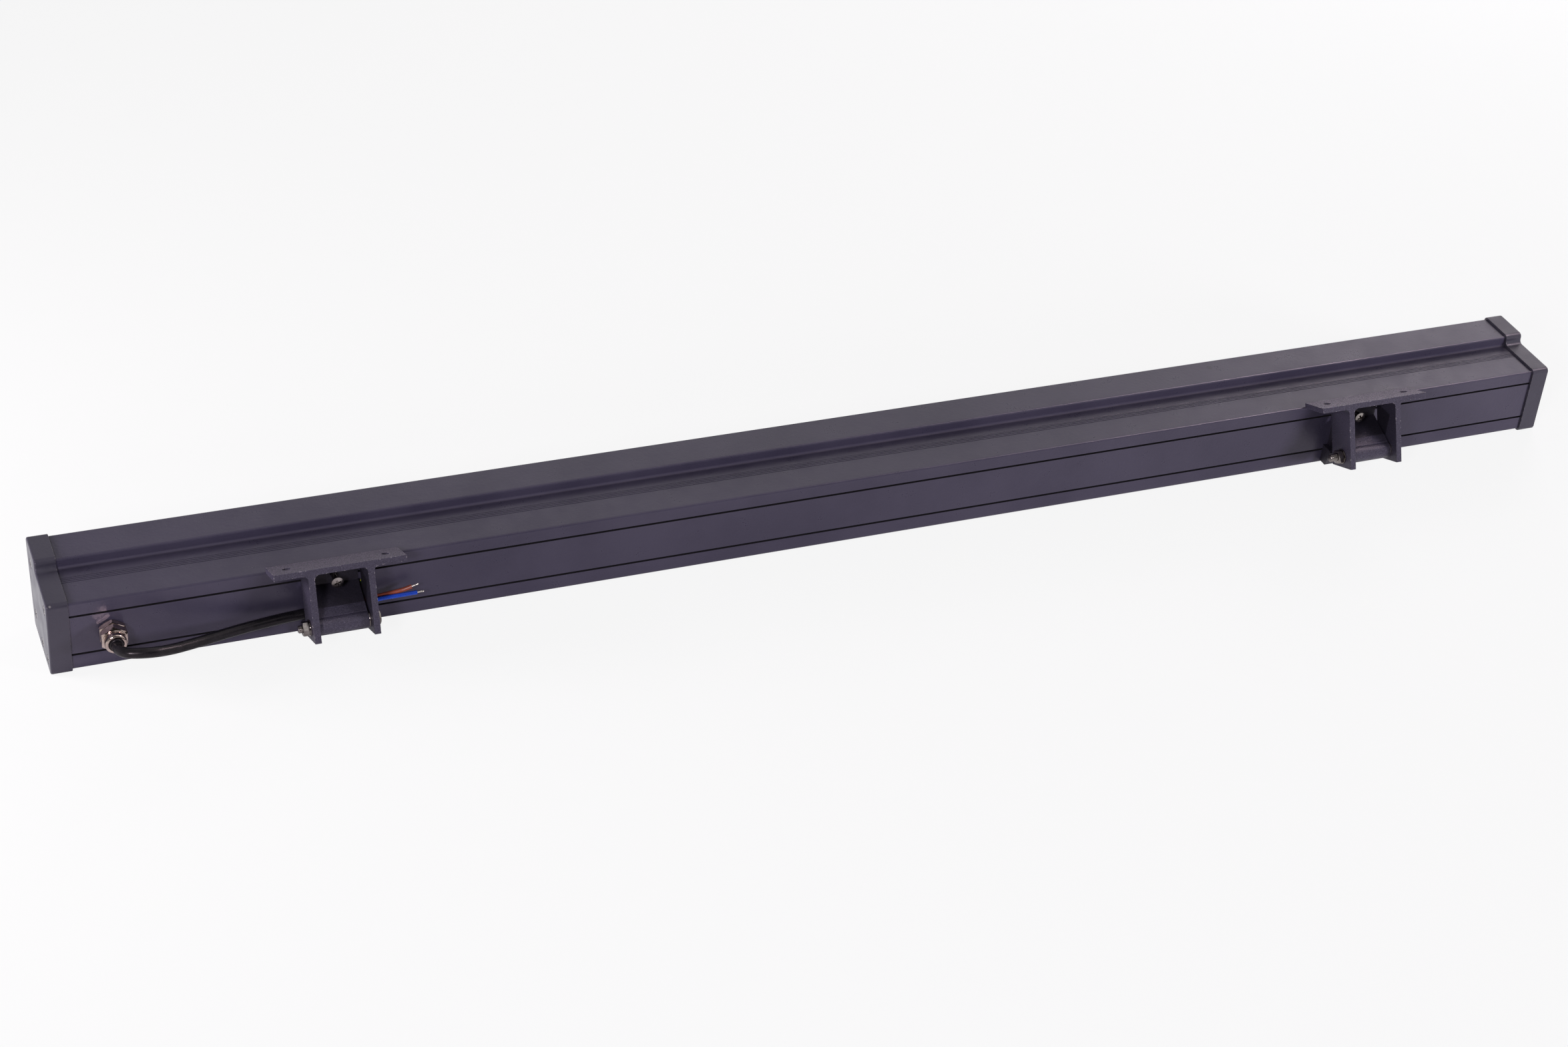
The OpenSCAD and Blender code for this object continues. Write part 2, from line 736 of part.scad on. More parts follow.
// A point in the case's frame, at a place on the window side and a distance behind it
function face_point(x, height, behind) =
    [x, face_foot + height * sin(face_tilt) - behind * cos(face_tilt),
     height * cos(face_tilt) + behind * sin(face_tilt)];

// Inner leads; each starts and ends with a short straight stretch
lead_straight = 3;
wire_end_share = 0.4;
sheath_end_gap = 14;
sheath_end_rise = 3;
sheath_straight = 10;
lead_rise = 8;
lead_slant = 12;
inner_sheath_end = [block_x0 - sheath_end_gap, driver_mid_y, block_wire_z + sheath_end_rise];
inner_cable_start = [gland_x, near_face - gland_hex_front - dome_hex_length + fit_gap, gland_z];
gland_inner_y = inner_near + gland_thread_in + fit_gap;

module inner_cable() {
    turn = [gland_x, gland_inner_y, gland_z];
    color(black) placed() tube(concat([inner_cable_start], bend(turn, [gland_x, driver_mid_y, gland_z],
        inner_sheath_end - [sheath_straight, 0, 0], inner_sheath_end, 8)), cable_r, 10);
}

module inlet_cores() {
    colours = ["saddlebrown", "yellowgreen", "royalblue"];
    from = inner_sheath_end + [slide_gap, 0, 0];
    along = [lead_straight, 0, 0];
    placed() for (i = [0:2])
        let (start = from + [0, (i - 1) * lead_step, 0], mouth = [block_x0, pole_ys[i], block_wire_z])
        color(colours[i]) tube(smooth([start, start + along, mouth - along, mouth,
            mouth + [block_length * wire_end_share, 0, 0]], 2), lead_r, 8);
}

module driver_input_leads() {
    along = [lead_straight, 0, 0];
    over_z = block_wire_z + lead_rise;
    lug_end = [earth_x - lug_r - lug_barrel, driver_mid_y, tray_top + lug_thickness + lead_r + fit_gap];
    placed() for (i = [0:2]) {
        mouth = [block_x0 + block_length, pole_ys[i], block_wire_z];
        high = [mouth[0] + lead_slant, pole_ys[i], over_z];
        into = [driver_x0 - slide_gap, pole_ys[i], over_z];
        start = mouth - [block_length * wire_end_share, 0, 0];
        if (i == 1) {
            color("yellowgreen") tube(smooth([start, mouth, mouth + along,
                lug_end - along, lug_end, lug_end + [lug_barrel, 0, 0]], 2), lead_r, 8);
        } else {
            color(i == 0 ? "saddlebrown" : "royalblue") tube(smooth([start, mouth, mouth + along,
                high, into - [lead_slant, 0, 0], into - along, into], 2), lead_r, 8);
        }
    }
}

module driver_output_leads() {
    placed() for (side = [-1, 1]) {
        start = [driver_x0 + driver_length + slide_gap, driver_mid_y - side * lead_step,
            tray_top + driver_height / 2];
        x = lead_hole_x + side * lead_step / 2;
        color(side < 0 ? "firebrick" : "dimgray") tube(concat(bend(start, start + [lead_slant, 0, 0],
            face_point(x, window_middle, board_wall_back + lead_rise),
            face_point(x, window_middle, board_wall_back), 8), [face_point(x, window_middle, board_front)]),
            lead_r, 8);
    }
}

// Cable gland

function across_corners(flats) = flats / cos(30);

module gland_place(from_face) {
    translate([gland_x, near_face - from_face, gland_z]) rotate([90, 0, 0]) children();
}

module hexagon(flats, height) {
    rotate([0, 0, 30]) cylinder(r = across_corners(flats) / 2, h = height, $fn = 6);
}

gland_bore_r = cable_r + 2 * slide_gap;
hex_chamfer = 1;
o_ring_width = 1;
lock_nut_height = 3.5;

module gland_body() {
    thread_in = housing_wall + gland_thread_in;
    color(bright) placed() gland_place(0) difference() {
        union() {
            translate([0, 0, -thread_in]) cylinder(r = gland_thread_r, h = thread_in + gland_hex_front);
            translate([0, 0, o_ring_squash]) intersection() {
                hexagon(gland_flats, gland_hex_length);
                cylinder(r1 = across_corners(gland_flats) / 2 + gland_hex_length - hex_chamfer,
                    r2 = across_corners(gland_flats) / 2 - hex_chamfer / 2, h = gland_hex_length);
            }
            translate([0, 0, gland_hex_front - fit_gap])
                cylinder(r = gland_thread_r - slide_gap, h = dome_hex_length);
        }
        translate([0, 0, -thread_in - over]) cylinder(r = gland_bore_r, h = thread_in + dome_front);
    }
}

module gland_o_ring() {
    color(black) placed() gland_place(0) difference() {
        cylinder(r = gland_thread_r + o_ring_width, h = o_ring_squash);
        translate([0, 0, -over]) cylinder(r = gland_thread_r + fit_gap, h = o_ring_squash + 2 * over);
    }
}

module gland_lock_nut() {
    color(bright) placed() gland_place(-housing_wall - lock_nut_height) difference() {
        hexagon(gland_flats, lock_nut_height);
        translate([0, 0, -over]) cylinder(r = gland_thread_r + fit_gap, h = lock_nut_height + 2 * over);
    }
}

seal_wall = 1.2;
dome_barrel_step = 1;
dome_lip_r = 1.2;
dome_mouth_r = cable_r + seal_wall;
dome_round = gland_flats / 2 - dome_barrel_step;
seal_nose = 0.7;
seal_shoulder = 2;
seal_lip = 0.6;
seal_length = dome_front - gland_hex_front - dome_hex_length;

// Half section of the dome nut's barrel, its front edge rolled over
module barrel_section() {
    intersection() {
        translate([0, -fit_gap]) square([dome_round, dome_length + fit_gap]);
        union() {
            translate([dome_round - dome_lip_r, dome_length - dome_lip_r]) circle(dome_lip_r);
            translate([0, -over]) square([dome_round, dome_length - dome_lip_r + over]);
            square([dome_round - dome_lip_r, dome_length]);
        }
    }
}

module gland_dome_nut() {
    corner = across_corners(gland_flats) / 2;
    color(bright) placed() gland_place(dome_back) difference() {
        union() {
            intersection() {
                hexagon(gland_flats, dome_hex_length);
                cylinder(r1 = corner - hex_chamfer / 2, r2 = corner + dome_hex_length - hex_chamfer / 2,
                    h = dome_hex_length);
                cylinder(r1 = corner + dome_hex_length - hex_chamfer / 2, r2 = corner - hex_chamfer / 2,
                    h = dome_hex_length);
            }
            translate([0, 0, dome_hex_length]) rotate_extrude() barrel_section();
        }
        translate([0, 0, -over])
            cylinder(r = gland_thread_r + fit_gap, h = dome_hex_length - slide_gap + over);
        translate([0, 0, -over]) cylinder(r = dome_mouth_r, h = dome_front + over);
    }
}

module gland_seal() {
    color(black) placed() gland_place(gland_hex_front + dome_hex_length) difference() {
        union() {
            cylinder(r = dome_mouth_r - fit_gap, h = seal_length);
            translate([0, 0, seal_length - fit_gap])
                cylinder(r1 = dome_mouth_r - fit_gap, r2 = dome_mouth_r - seal_nose, h = seal_nose);
        }
        translate([0, 0, -over]) cylinder(r = cable_r - seal_lip, h = seal_shoulder + 2 * over);
        translate([0, 0, seal_shoulder]) cylinder(r = cable_r + fit_gap, h = seal_length + over);
    }
}

// Supply cable, its route in the case's own frame

cable_route = [[-464.4, -10.4, 25], [-464.4, -14.4, 25], [-464.2, -17.6, 25], [-462.2, -21, 25.3],
    [-457.6, -24, 25.6], [-446.2, -25.4, 25], [-433.6, -21.4, 22], [-418, -16.2, 20],
    [-409.9, -13.8, 19.5], [-401.8, -11.6, 19.2], [-385.6, -8, 18.6], [-369.6, -5.7, 18.5],
    [-356, -4.8, 18.6], [-345, -4.8, 18.6], [-334, -4.8, 18.6]];
brown_route = [[-333.9, -4.8, 20.2], [-329, -4.8, 20.4], [-320, -3.6, 21.3], [-311, -3.6, 22],
    [-298, -4.6, 24], [-291.6, -5.6, 26.4]];
blue_route = [[-333.9, -6.2, 17.8], [-329, -6.2, 18], [-320, -6.3, 20.2], [-311, -6.4, 21.8],
    [-298, -6.8, 22.3], [-288.8, -7, 22.6]];
earth_route = [[-333.9, -3.4, 17.8], [-328, -3.4, 17.3], [-322.2, -3, 17.2], [-319.4, -1.4, 19],
    [-318.6, -0.7, 23.5], [-319, -0.7, 29], [-319.8, -1, 33.5]];
tip_length = 4.2;
route_steps = 3;

module supply_cable() {
    color(black) placed() tube(smooth(cable_route, route_steps), cable_r, 10);
}

module core_brown() { color("sienna") placed() tube(smooth(brown_route, 2), core_r, 8); }
module core_blue() { color("royalblue") placed() tube(smooth(blue_route, 2), core_r, 8); }
module core_earth() { color("yellowgreen") placed() tube(smooth(earth_route, 2), core_r, 8); }

module core_tips() {
    color([0.85, 0.85, 0.88]) placed() for (p = [brown_route, blue_route, earth_route])
        let (last = p[len(p) - 1], way = unit(last - p[len(p) - 2]))
            tube([last, last + way * tip_length], strand_r, 8);
}

// Hinge arms

arm_screw_z = groove_high + arm_screw_r + groove_width;
arm_screw_stand = 11.5;
// The right arm's screw sits a little left of the arm's middle
right_screw_shift = 3;
right_screw_x = right_x - right_screw_shift;
flange_top = arm_screw_z + arm_screw_head_r;
flange_low = 3;
flange_front = near_face - flange_thickness;
foot_top = 15.4;
foot_out = 8;
foot_toe = 4.5;
arm_shift = (leg_gap - arm_width) / 2 - slide_gap;

// A straight web whose outer side touches the barrel, drawn towards the case
module web(slope, thickness, side) {
    reach = (near_face - pivot_y) / cos(slope) + barrel_r;
    translate([pivot_y, pivot_z]) rotate(slope)
        translate([0, side > 0 ? barrel_r - thickness : -barrel_r]) square([reach, thickness]);
}

module arm_section() {
    difference() {
        union() {
            translate([pivot_y, pivot_z]) circle(barrel_r);
            intersection() {
                union() {
                    web(upper_slope, upper_web, 1);
                    web(-lower_slope, lower_web, -1);
                }
                translate([pivot_y, 0]) square([near_face - pivot_y, flange_top]);
            }
            translate([flange_front, flange_low]) square([flange_thickness, flange_top - flange_low]);
        }
        translate([pivot_y, pivot_z]) circle(bolt_r + bolt_play);
    }
}

module foot_section() {
    polygon([[near_face, flange_low], [-foot_toe, flange_low], [-foot_out, foot_top - lower_web / 2],
        [-foot_out + lower_web / 2, foot_top], [near_face, foot_top]]);
}

module tongue_section() {
    tongue = groove_width - 2 * slide_gap;
    for (z = [groove_low, groove_high]) translate([near_face - over, z - tongue / 2])
        square([groove_depth - slide_gap + over, tongue]);
}

module hinge_arm(x, screw_x) {
    mid = x - arm_shift;
    color(paint) placed() difference() {
        union() {
            along_x(mid - arm_width / 2, mid + arm_width / 2) arm_section();
            along_x(x - foot_width / 2, x + foot_width / 2) foot_section();
            along_x(mid - arm_width / 2, mid + arm_width / 2) tongue_section();
        }
        translate([screw_x, flange_front - over, arm_screw_z]) rotate([-90, 0, 0])
            cylinder(r = arm_screw_r + slide_gap, h = flange_thickness + 2 * over);
    }
}

module hinge_arm_left() { hinge_arm(left_x, left_x); }
module hinge_arm_right() { hinge_arm(right_x, right_screw_x); }

module arm_screw(x) {
    head = arm_screw_head_r - arm_screw_r;
    shank = near_face + groove_depth + arm_screw_stand - head;
    color(bright) placed() translate([x, -arm_screw_stand, arm_screw_z]) rotate([90, 0, 0]) difference() {
        union() {
            translate([0, 0, -head]) cylinder(r1 = arm_screw_r, r2 = arm_screw_head_r, h = head);
            translate([0, 0, -head - shank]) cylinder(r = arm_screw_r, h = shank + fit_gap);
        }
        cross_recess(arm_screw_head_r, 0);
    }
}

module arm_screw_left() { arm_screw(left_x); }
module arm_screw_right() { arm_screw(right_screw_x); }

// Brackets and pivots

// Puts children in the bracket's own frame: origin on the pivot, Z square to the plate
module at_pivot(x) {
    placed() translate([x, pivot_y, pivot_z]) rotate([-rest_tilt, 0, 0]) children();
}

// Section of the bracket across its length, in X and Z
module bracket_section() {
    translate([-plate_length / 2, pivot_drop]) square([plate_length, plate_thickness]);
    for (side = [-1, 1]) {
        middle = side * (leg_gap + leg_thickness) / 2;
        translate([middle - leg_thickness / 2, pivot_drop - leg_length])
            square([leg_thickness, leg_length + fit_gap]);
        // Corner fillets inside and outside the leg
        for (edge = [-1, 1]) let (x = middle + edge * leg_thickness / 2) difference() {
            translate([edge > 0 ? x : x - leg_fillet, pivot_drop - leg_fillet])
                square([leg_fillet, leg_fillet + fit_gap]);
            translate([x + edge * leg_fillet, pivot_drop - leg_fillet]) circle(leg_fillet);
        }
    }
}

module bracket(x) {
    color(bracket_paint) at_pivot(x) difference() {
        translate([0, back_of_pivot, 0]) rotate([90, 0, 0]) linear_extrude(bracket_width) bracket_section();
        for (side = [-1, 1])
            translate([side * hole_spacing / 2, back_of_pivot - bracket_width / 2, pivot_drop - over])
                cylinder(r = hole_r, h = plate_thickness + 2 * over);
        translate([-leg_outer - over, 0, 0]) rotate([0, 90, 0])
            cylinder(r = bolt_r + 2 * fit_gap, h = 2 * (leg_outer + over));
    }
}

module bracket_left() { bracket(left_x); }
module bracket_right() { bracket(right_x); }

washer_thickness = 1;
washer_r = 4.9;
nut_flats = 8;
nut_height = 3.8;
bolt_head_height = 1.5;
// The photo shows more of the right bolt past its nut than of the left one
left_stick_out = 2.4;
right_stick_out = 5;
spacer_r = 5;

module pivot_bolt(x, stick_out) {
    shank = 2 * leg_outer + 2 * washer_thickness + nut_height + stick_out;
    head_x = leg_outer + washer_thickness;
    color(bright) at_pivot(x) translate([head_x, 0, 0]) rotate([0, 90, 0]) {
        translate([0, 0, -shank]) cylinder(r = bolt_r, h = shank + fit_gap);
        hexagon(nut_flats, bolt_head_height);
    }
}

module pivot_nut(x) {
    color(bright) at_pivot(x) translate([-leg_outer - washer_thickness - nut_height, 0, 0])
        rotate([0, 90, 0]) difference() {
            hexagon(nut_flats, nut_height);
            translate([0, 0, -over]) cylinder(r = bolt_r + fit_gap, h = nut_height + 2 * over);
        }
}

module ring(r_out, thickness) {
    rotate([0, 90, 0]) difference() {
        cylinder(r = r_out, h = thickness);
        translate([0, 0, -over]) cylinder(r = bolt_r + 2 * fit_gap, h = thickness + 2 * over);
    }
}

module pivot_washers(x) {
    color(bright) at_pivot(x) {
        translate([-leg_outer - washer_thickness, 0, 0]) ring(washer_r, washer_thickness);
        translate([leg_outer, 0, 0]) ring(washer_r, washer_thickness);
    }
}

module pivot_spacer(x) {
    free = leg_gap - arm_width - 2 * slide_gap;
    color(bright) at_pivot(x) translate([leg_gap / 2 - free, 0, 0]) ring(spacer_r, free);
}

module pivot_bolt_left() { pivot_bolt(left_x, left_stick_out); }
module pivot_bolt_right() { pivot_bolt(right_x, right_stick_out); }
module pivot_nut_left() { pivot_nut(left_x); }
module pivot_nut_right() { pivot_nut(right_x); }
module pivot_washers_left() { pivot_washers(left_x); }
module pivot_washers_right() { pivot_washers(right_x); }
module pivot_spacer_left() { pivot_spacer(left_x); }
module pivot_spacer_right() { pivot_spacer(right_x); }

housing();
end_cap_left();
end_cap_right();
end_gasket_left();
end_gasket_right();
cap_screws_left();
cap_screws_right();
window_glass();
glass_seal();
thermal_pad();
led_board_left();
led_board_right();
led_chips();
lens_carrier();
lenses();
board_screws();
driver_tray();
tray_screws();
driver();
driver_screws();
terminal_block();
terminal_screws();
earth_lug();
earth_screw();
inner_cable();
inlet_cores();
driver_input_leads();
driver_output_leads();
gland_body();
gland_o_ring();
gland_lock_nut();
gland_dome_nut();
gland_seal();
supply_cable();
core_brown();
core_blue();
core_earth();
core_tips();
hinge_arm_left();
hinge_arm_right();
arm_screw_left();
arm_screw_right();
bracket_left();
bracket_right();
pivot_bolt_left();
pivot_bolt_right();
pivot_nut_left();
pivot_nut_right();
pivot_washers_left();
pivot_washers_right();
pivot_spacer_left();
pivot_spacer_right();
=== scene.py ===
# Outdoor wall washer light: looks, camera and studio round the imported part
import json
import math

import bmesh
import bpy
from mathutils import Matrix, Vector

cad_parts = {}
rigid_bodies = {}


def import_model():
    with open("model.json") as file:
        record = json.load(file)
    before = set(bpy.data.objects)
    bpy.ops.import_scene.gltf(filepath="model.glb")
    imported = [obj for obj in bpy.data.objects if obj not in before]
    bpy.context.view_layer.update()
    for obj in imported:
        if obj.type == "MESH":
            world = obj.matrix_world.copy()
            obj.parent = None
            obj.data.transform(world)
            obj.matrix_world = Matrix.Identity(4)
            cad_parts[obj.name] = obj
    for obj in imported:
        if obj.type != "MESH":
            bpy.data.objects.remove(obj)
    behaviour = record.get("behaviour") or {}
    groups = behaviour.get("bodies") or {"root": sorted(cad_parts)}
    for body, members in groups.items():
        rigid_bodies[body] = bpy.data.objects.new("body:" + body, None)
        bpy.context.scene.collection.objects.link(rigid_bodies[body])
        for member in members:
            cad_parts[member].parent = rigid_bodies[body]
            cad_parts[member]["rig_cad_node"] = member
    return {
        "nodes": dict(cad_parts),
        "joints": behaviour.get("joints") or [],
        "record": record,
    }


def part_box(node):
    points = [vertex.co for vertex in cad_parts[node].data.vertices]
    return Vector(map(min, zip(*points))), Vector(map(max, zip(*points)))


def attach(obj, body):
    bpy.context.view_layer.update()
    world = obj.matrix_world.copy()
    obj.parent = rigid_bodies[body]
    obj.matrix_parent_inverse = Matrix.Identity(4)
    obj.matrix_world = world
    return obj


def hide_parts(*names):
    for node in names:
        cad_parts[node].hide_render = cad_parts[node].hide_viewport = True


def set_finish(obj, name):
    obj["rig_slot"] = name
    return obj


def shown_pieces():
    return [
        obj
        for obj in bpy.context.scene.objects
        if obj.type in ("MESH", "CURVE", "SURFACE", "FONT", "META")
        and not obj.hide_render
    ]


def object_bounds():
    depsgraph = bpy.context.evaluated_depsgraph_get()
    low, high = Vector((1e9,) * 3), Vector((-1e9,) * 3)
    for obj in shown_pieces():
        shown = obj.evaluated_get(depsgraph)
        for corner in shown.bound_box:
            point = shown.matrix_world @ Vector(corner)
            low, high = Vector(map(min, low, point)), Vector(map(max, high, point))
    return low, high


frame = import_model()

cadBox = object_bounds()
bodyOf = {n: body for body, nodes in frame["record"]["behaviour"]["bodies"].items() for n in nodes}
slotOf = {part["node"]: part["material_slot"] for part in frame["record"]["subparts"]}
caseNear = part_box("end_cap_left")[0].y  # the caps' near outer face, where the case's own depths start
pivots = [joint["pos_m"] for joint in frame["joints"]]
print("frame loaded with", len(frame["nodes"]), "nodes")


# Camera, at the photograph's place and angle

photoView = {
    "place": (-0.6673, -1.3482, 1.0382),
    "azimuth": -24.664,
    "elevation": 34.648,
    "roll": 5.371,
    "focalPixels": 4356.4,
    "imageWidth": 2349,
    "sensor": 36.0,
    "clip": (0.01, 100),
}


def makeCamera(view):
    turn, rise, roll = (math.radians(view[k]) for k in ("azimuth", "elevation", "roll"))
    back = Vector((math.sin(turn) * math.cos(rise), -math.cos(turn) * math.cos(rise), math.sin(rise)))
    level = Vector((0, 0, 1)).cross(back).normalized()
    upright = back.cross(level)
    right = math.cos(roll) * level + math.sin(roll) * upright
    data = bpy.data.cameras.new("photoCamera")
    data.sensor_width = view["sensor"]
    data.lens = view["focalPixels"] * view["sensor"] / view["imageWidth"]
    data.clip_start, data.clip_end = view["clip"]
    camera = bpy.data.objects.new("photoCamera", data)
    axes = Matrix((right, back.cross(right), back)).transposed().to_4x4()
    camera.matrix_world = Matrix.Translation(view["place"]) @ axes
    bpy.context.scene.collection.objects.link(camera)
    bpy.context.scene.camera = camera


makeCamera(photoView)
bpy.context.scene.view_settings.view_transform = "Standard"
print("camera placed")


# Mesh helpers

mergeWithin = 2e-6  # vertices this close become one
flatWithin = 0.6  # faces that turn less than this many degrees are one face
crispFrom = 35  # edges that turn more than this many degrees are rounded
softShare = 0.3  # how far in the middle ring of a softened edge lies, as a share of the edge


def newObject(name, data):
    made = bpy.data.objects.new(name, data)
    bpy.context.scene.collection.objects.link(made)
    return made


def meshObject(name, build):
    # build fills an empty bmesh
    bm = bmesh.new()
    build(bm)
    mesh = bpy.data.meshes.new(name)
    bm.to_mesh(mesh)
    bm.free()
    return newObject(name, mesh)


def shadeSmooth(made, sharpFrom=32):
    # Smooth over rounded edges only; the wide faces beside them stay flat
    made.data.shade_smooth()
    made.data.set_sharp_from_angle(angle=math.radians(sharpFrom))
    even = made.modifiers.new("evenNormals", "WEIGHTED_NORMAL")
    even.keep_sharp, even.weight = True, 90
    return made


def takePlace(made, node, turnOut=True):
    # made stands for this node: it rides on its body and takes its finish
    if turnOut:
        bm = bmesh.new()
        bm.from_mesh(made.data)
        bmesh.ops.recalc_face_normals(bm, faces=bm.faces)
        bm.to_mesh(made.data)
        bm.free()
    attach(made, bodyOf[node])
    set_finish(made, slotOf[node])
    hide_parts(node)


def softened(node, name, width=0.0, steps=2, sharpFrom=32):
    # A copy of a node whose sharp edges are rounded off, as a coating rounds them
    bm = bmesh.new()
    bm.from_mesh(frame["nodes"][node].data)
    bmesh.ops.remove_doubles(bm, verts=bm.verts, dist=mergeWithin)
    bmesh.ops.dissolve_limit(bm, angle_limit=math.radians(flatWithin), verts=bm.verts, edges=bm.edges)
    if width:
        crisp = [e for e in bm.edges if len(e.link_faces) == 2
                 and e.calc_face_angle(0) > math.radians(crispFrom)]
        bmesh.ops.bevel(bm, geom=crisp, offset=width, offset_type="OFFSET", segments=steps,
                        profile=0.5, affect="EDGES", clamp_overlap=True)
    mesh = bpy.data.meshes.new(name)
    bm.to_mesh(mesh)
    bm.free()
    made = newObject(name, mesh)
    shadeSmooth(made, sharpFrom)
    takePlace(made, node, turnOut=False)


def carve(made, cutter):
    # Takes the cutter out of a piece, and the cutter out of the scene
    step = made.modifiers.new("carve", "BOOLEAN")
    step.operation, step.solver, step.object = "DIFFERENCE", "EXACT", cutter
    bpy.context.view_layer.update()
    shape = bpy.data.meshes.new_from_object(made.evaluated_get(bpy.context.evaluated_depsgraph_get()))
    made.modifiers.clear()
    made.data = shape
    bpy.data.objects.remove(cutter)


def skin(bm, rings):
    # Joins rings of points, all of one count, into a closed skin
    rows = [[bm.verts.new(p) for p in ring] for ring in rings]
    count = len(rows[0])
    for a, b in zip(rows, rows[1:]):
        for k in range(count):
            bm.faces.new((a[k], a[(k + 1) % count], b[(k + 1) % count], b[k]))
    bm.faces.new(rows[0][::-1])
    bm.faces.new(rows[-1])
    bmesh.ops.recalc_face_normals(bm, faces=bm.faces)


def turned(profile, sides, place, radiusAt=None):
    # Rings of a turned shape from its (radius, height) profile; radiusAt may flatten it to a hexagon
    def ring(radius, height):
        points = []
        for k in range(sides):
            angle = 2 * math.pi * k / sides
            r, z = (radius, height) if radiusAt is None else radiusAt(radius, height, angle)
            points.append(place @ Vector((r * math.cos(angle), r * math.sin(angle), z)))
        return points
    return [ring(r, z) for r, z in profile]


def arc(centre, radius, start, end, steps):
    # Points of an arc, in degrees
    return [(centre[0] + radius * math.cos(math.radians(start + (end - start) * k / steps)),
             centre[1] + radius * math.sin(math.radians(start + (end - start) * k / steps)))
            for k in range(steps + 1)]


def axisPlace(origin, direction):
    # Z runs along direction, from origin
    turn = Vector(direction).to_track_quat("Z", "Y").to_matrix().to_4x4()
    return Matrix.Translation(origin) @ turn


# Cords, first of all pieces: the supply cable and its stripped cores

cords = {
    "cableRadius": 0.0031,
    "coreRadius": 0.0013,
    "strandRadius": 0.00019,
    "strandTurn": 0.00031,
    "tipLength": 0.0042,
    "tipStart": 0.0004,
    "tipRows": 14,
    "tipSides": 8,
    "tipTwist": 0.55,
    "tipEndShare": 0.55,
    "steps": 8,
    "cableLength": 0.1438,
    "brownLength": 0.0432,
    "blueLength": 0.0456,
    "earthLength": 0.0304,
}
# Routes in the case's frame, in metres; depths count from the caps' near face
cableRoute = [
    (-0.4644, -0.0104, 0.025), (-0.4644, -0.0144, 0.025), (-0.4642, -0.0176, 0.025),
    (-0.4622, -0.021, 0.0253), (-0.4576, -0.024, 0.0256), (-0.4462, -0.0254, 0.025),
    (-0.4336, -0.0214, 0.022), (-0.418, -0.0162, 0.02), (-0.4099, -0.0138, 0.0195),
    (-0.4018, -0.0116, 0.0192), (-0.3856, -0.008, 0.0186), (-0.3696, -0.0057, 0.0185),
    (-0.356, -0.0048, 0.0186), (-0.345, -0.0048, 0.0186), (-0.334, -0.0048, 0.0186)]
brownRoute = [
    (-0.3339, -0.0048, 0.0202), (-0.329, -0.0048, 0.0204), (-0.32, -0.0036, 0.0213),
    (-0.311, -0.0036, 0.022), (-0.298, -0.0046, 0.024), (-0.2916, -0.0056, 0.0264)]
blueRoute = [
    (-0.3339, -0.0062, 0.0178), (-0.329, -0.0062, 0.018), (-0.32, -0.0063, 0.0202),
    (-0.311, -0.0064, 0.0218), (-0.298, -0.0068, 0.0223), (-0.2888, -0.007, 0.0226)]
earthRoute = [
    (-0.3339, -0.0034, 0.0178), (-0.328, -0.0034, 0.0173), (-0.3222, -0.003, 0.0172),
    (-0.3194, -0.0014, 0.019), (-0.3186, -0.0007, 0.0235), (-0.319, -0.0007, 0.029),
    (-0.3198, -0.001, 0.0335)]


def smoothRoute(points, steps):
    points = [Vector((x, y + caseNear, z)) for x, y, z in points]
    last = len(points) - 1
    line = []
    for i in range(last):
        a, b, c, d = points[max(i - 1, 0)], points[i], points[i + 1], points[min(i + 2, last)]
        for k in range(steps):
            t = k / steps
            line.append(0.5 * (2 * b + (c - a) * t + (2 * a - 5 * b + 4 * c - d) * t ** 2
                               + (3 * b - a - 3 * c + d) * t ** 3))
    return line + [points[last]]


def roundCord(name, line, radius, detail=5):
    curve = bpy.data.curves.new(name, "CURVE")
    curve.dimensions = "3D"
    curve.bevel_depth, curve.bevel_resolution = 1.0, detail
    curve.use_fill_caps = True
    spline = curve.splines.new("POLY")
    spline.points.add(len(line) - 1)
    for point, place in zip(spline.points, line):
        point.co, point.radius = (*place, 1), radius
    spline.use_smooth = True
    return newObject(name, curve)


def strandedTip(name, line):
    # Seven tinned strands, six of them twisted round the middle one
    start, way = line[-1], (line[-1] - line[-2]).normalized()
    place = axisPlace(start - way * cords["tipStart"], way)
    length, rows, sides = cords["tipLength"] + cords["tipStart"], cords["tipRows"], cords["tipSides"]

    def build(bm):
        for strand in range(7):
            ring = []
            for i in range(rows + 1):
                turn = 2 * math.pi * (strand / 6 + cords["tipTwist"] * i / rows)
                out = 0 if strand == 6 else cords["strandTurn"]
                centre = Vector((out * math.cos(turn), out * math.sin(turn), length * i / rows))
                small = cords["strandRadius"] * (cords["tipEndShare"] if i == rows else 1)
                ring.append([place @ (centre + Vector((small * math.cos(2 * math.pi * k / sides),
                                                      small * math.sin(2 * math.pi * k / sides), 0)))
                             for k in range(sides)])
            skin(bm, ring)
    made = meshObject(name, build)
    return shadeSmooth(made, 50)


def makeCords():
    lines = {name: smoothRoute(route, cords["steps"]) for name, route in (
        ("cable", cableRoute), ("brown", brownRoute), ("blue", blueRoute), ("earth", earthRoute))}
    cable = roundCord("supplyCable", lines["cable"], cords["cableRadius"], 8)
    takePlace(cable, "supply_cable", turnOut=False)
    for colour in ("brown", "blue", "earth"):
        core = roundCord(colour + "Core", lines[colour], cords["coreRadius"])
        takePlace(core, "core_" + colour, turnOut=False)
        tip = strandedTip(colour + "Tip", lines[colour])
        if colour == "brown":
            takePlace(tip, "core_tips", turnOut=False)
        else:
            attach(tip, bodyOf["core_tips"])
            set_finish(tip, slotOf["core_tips"])


makeCords()
print("cords laid")


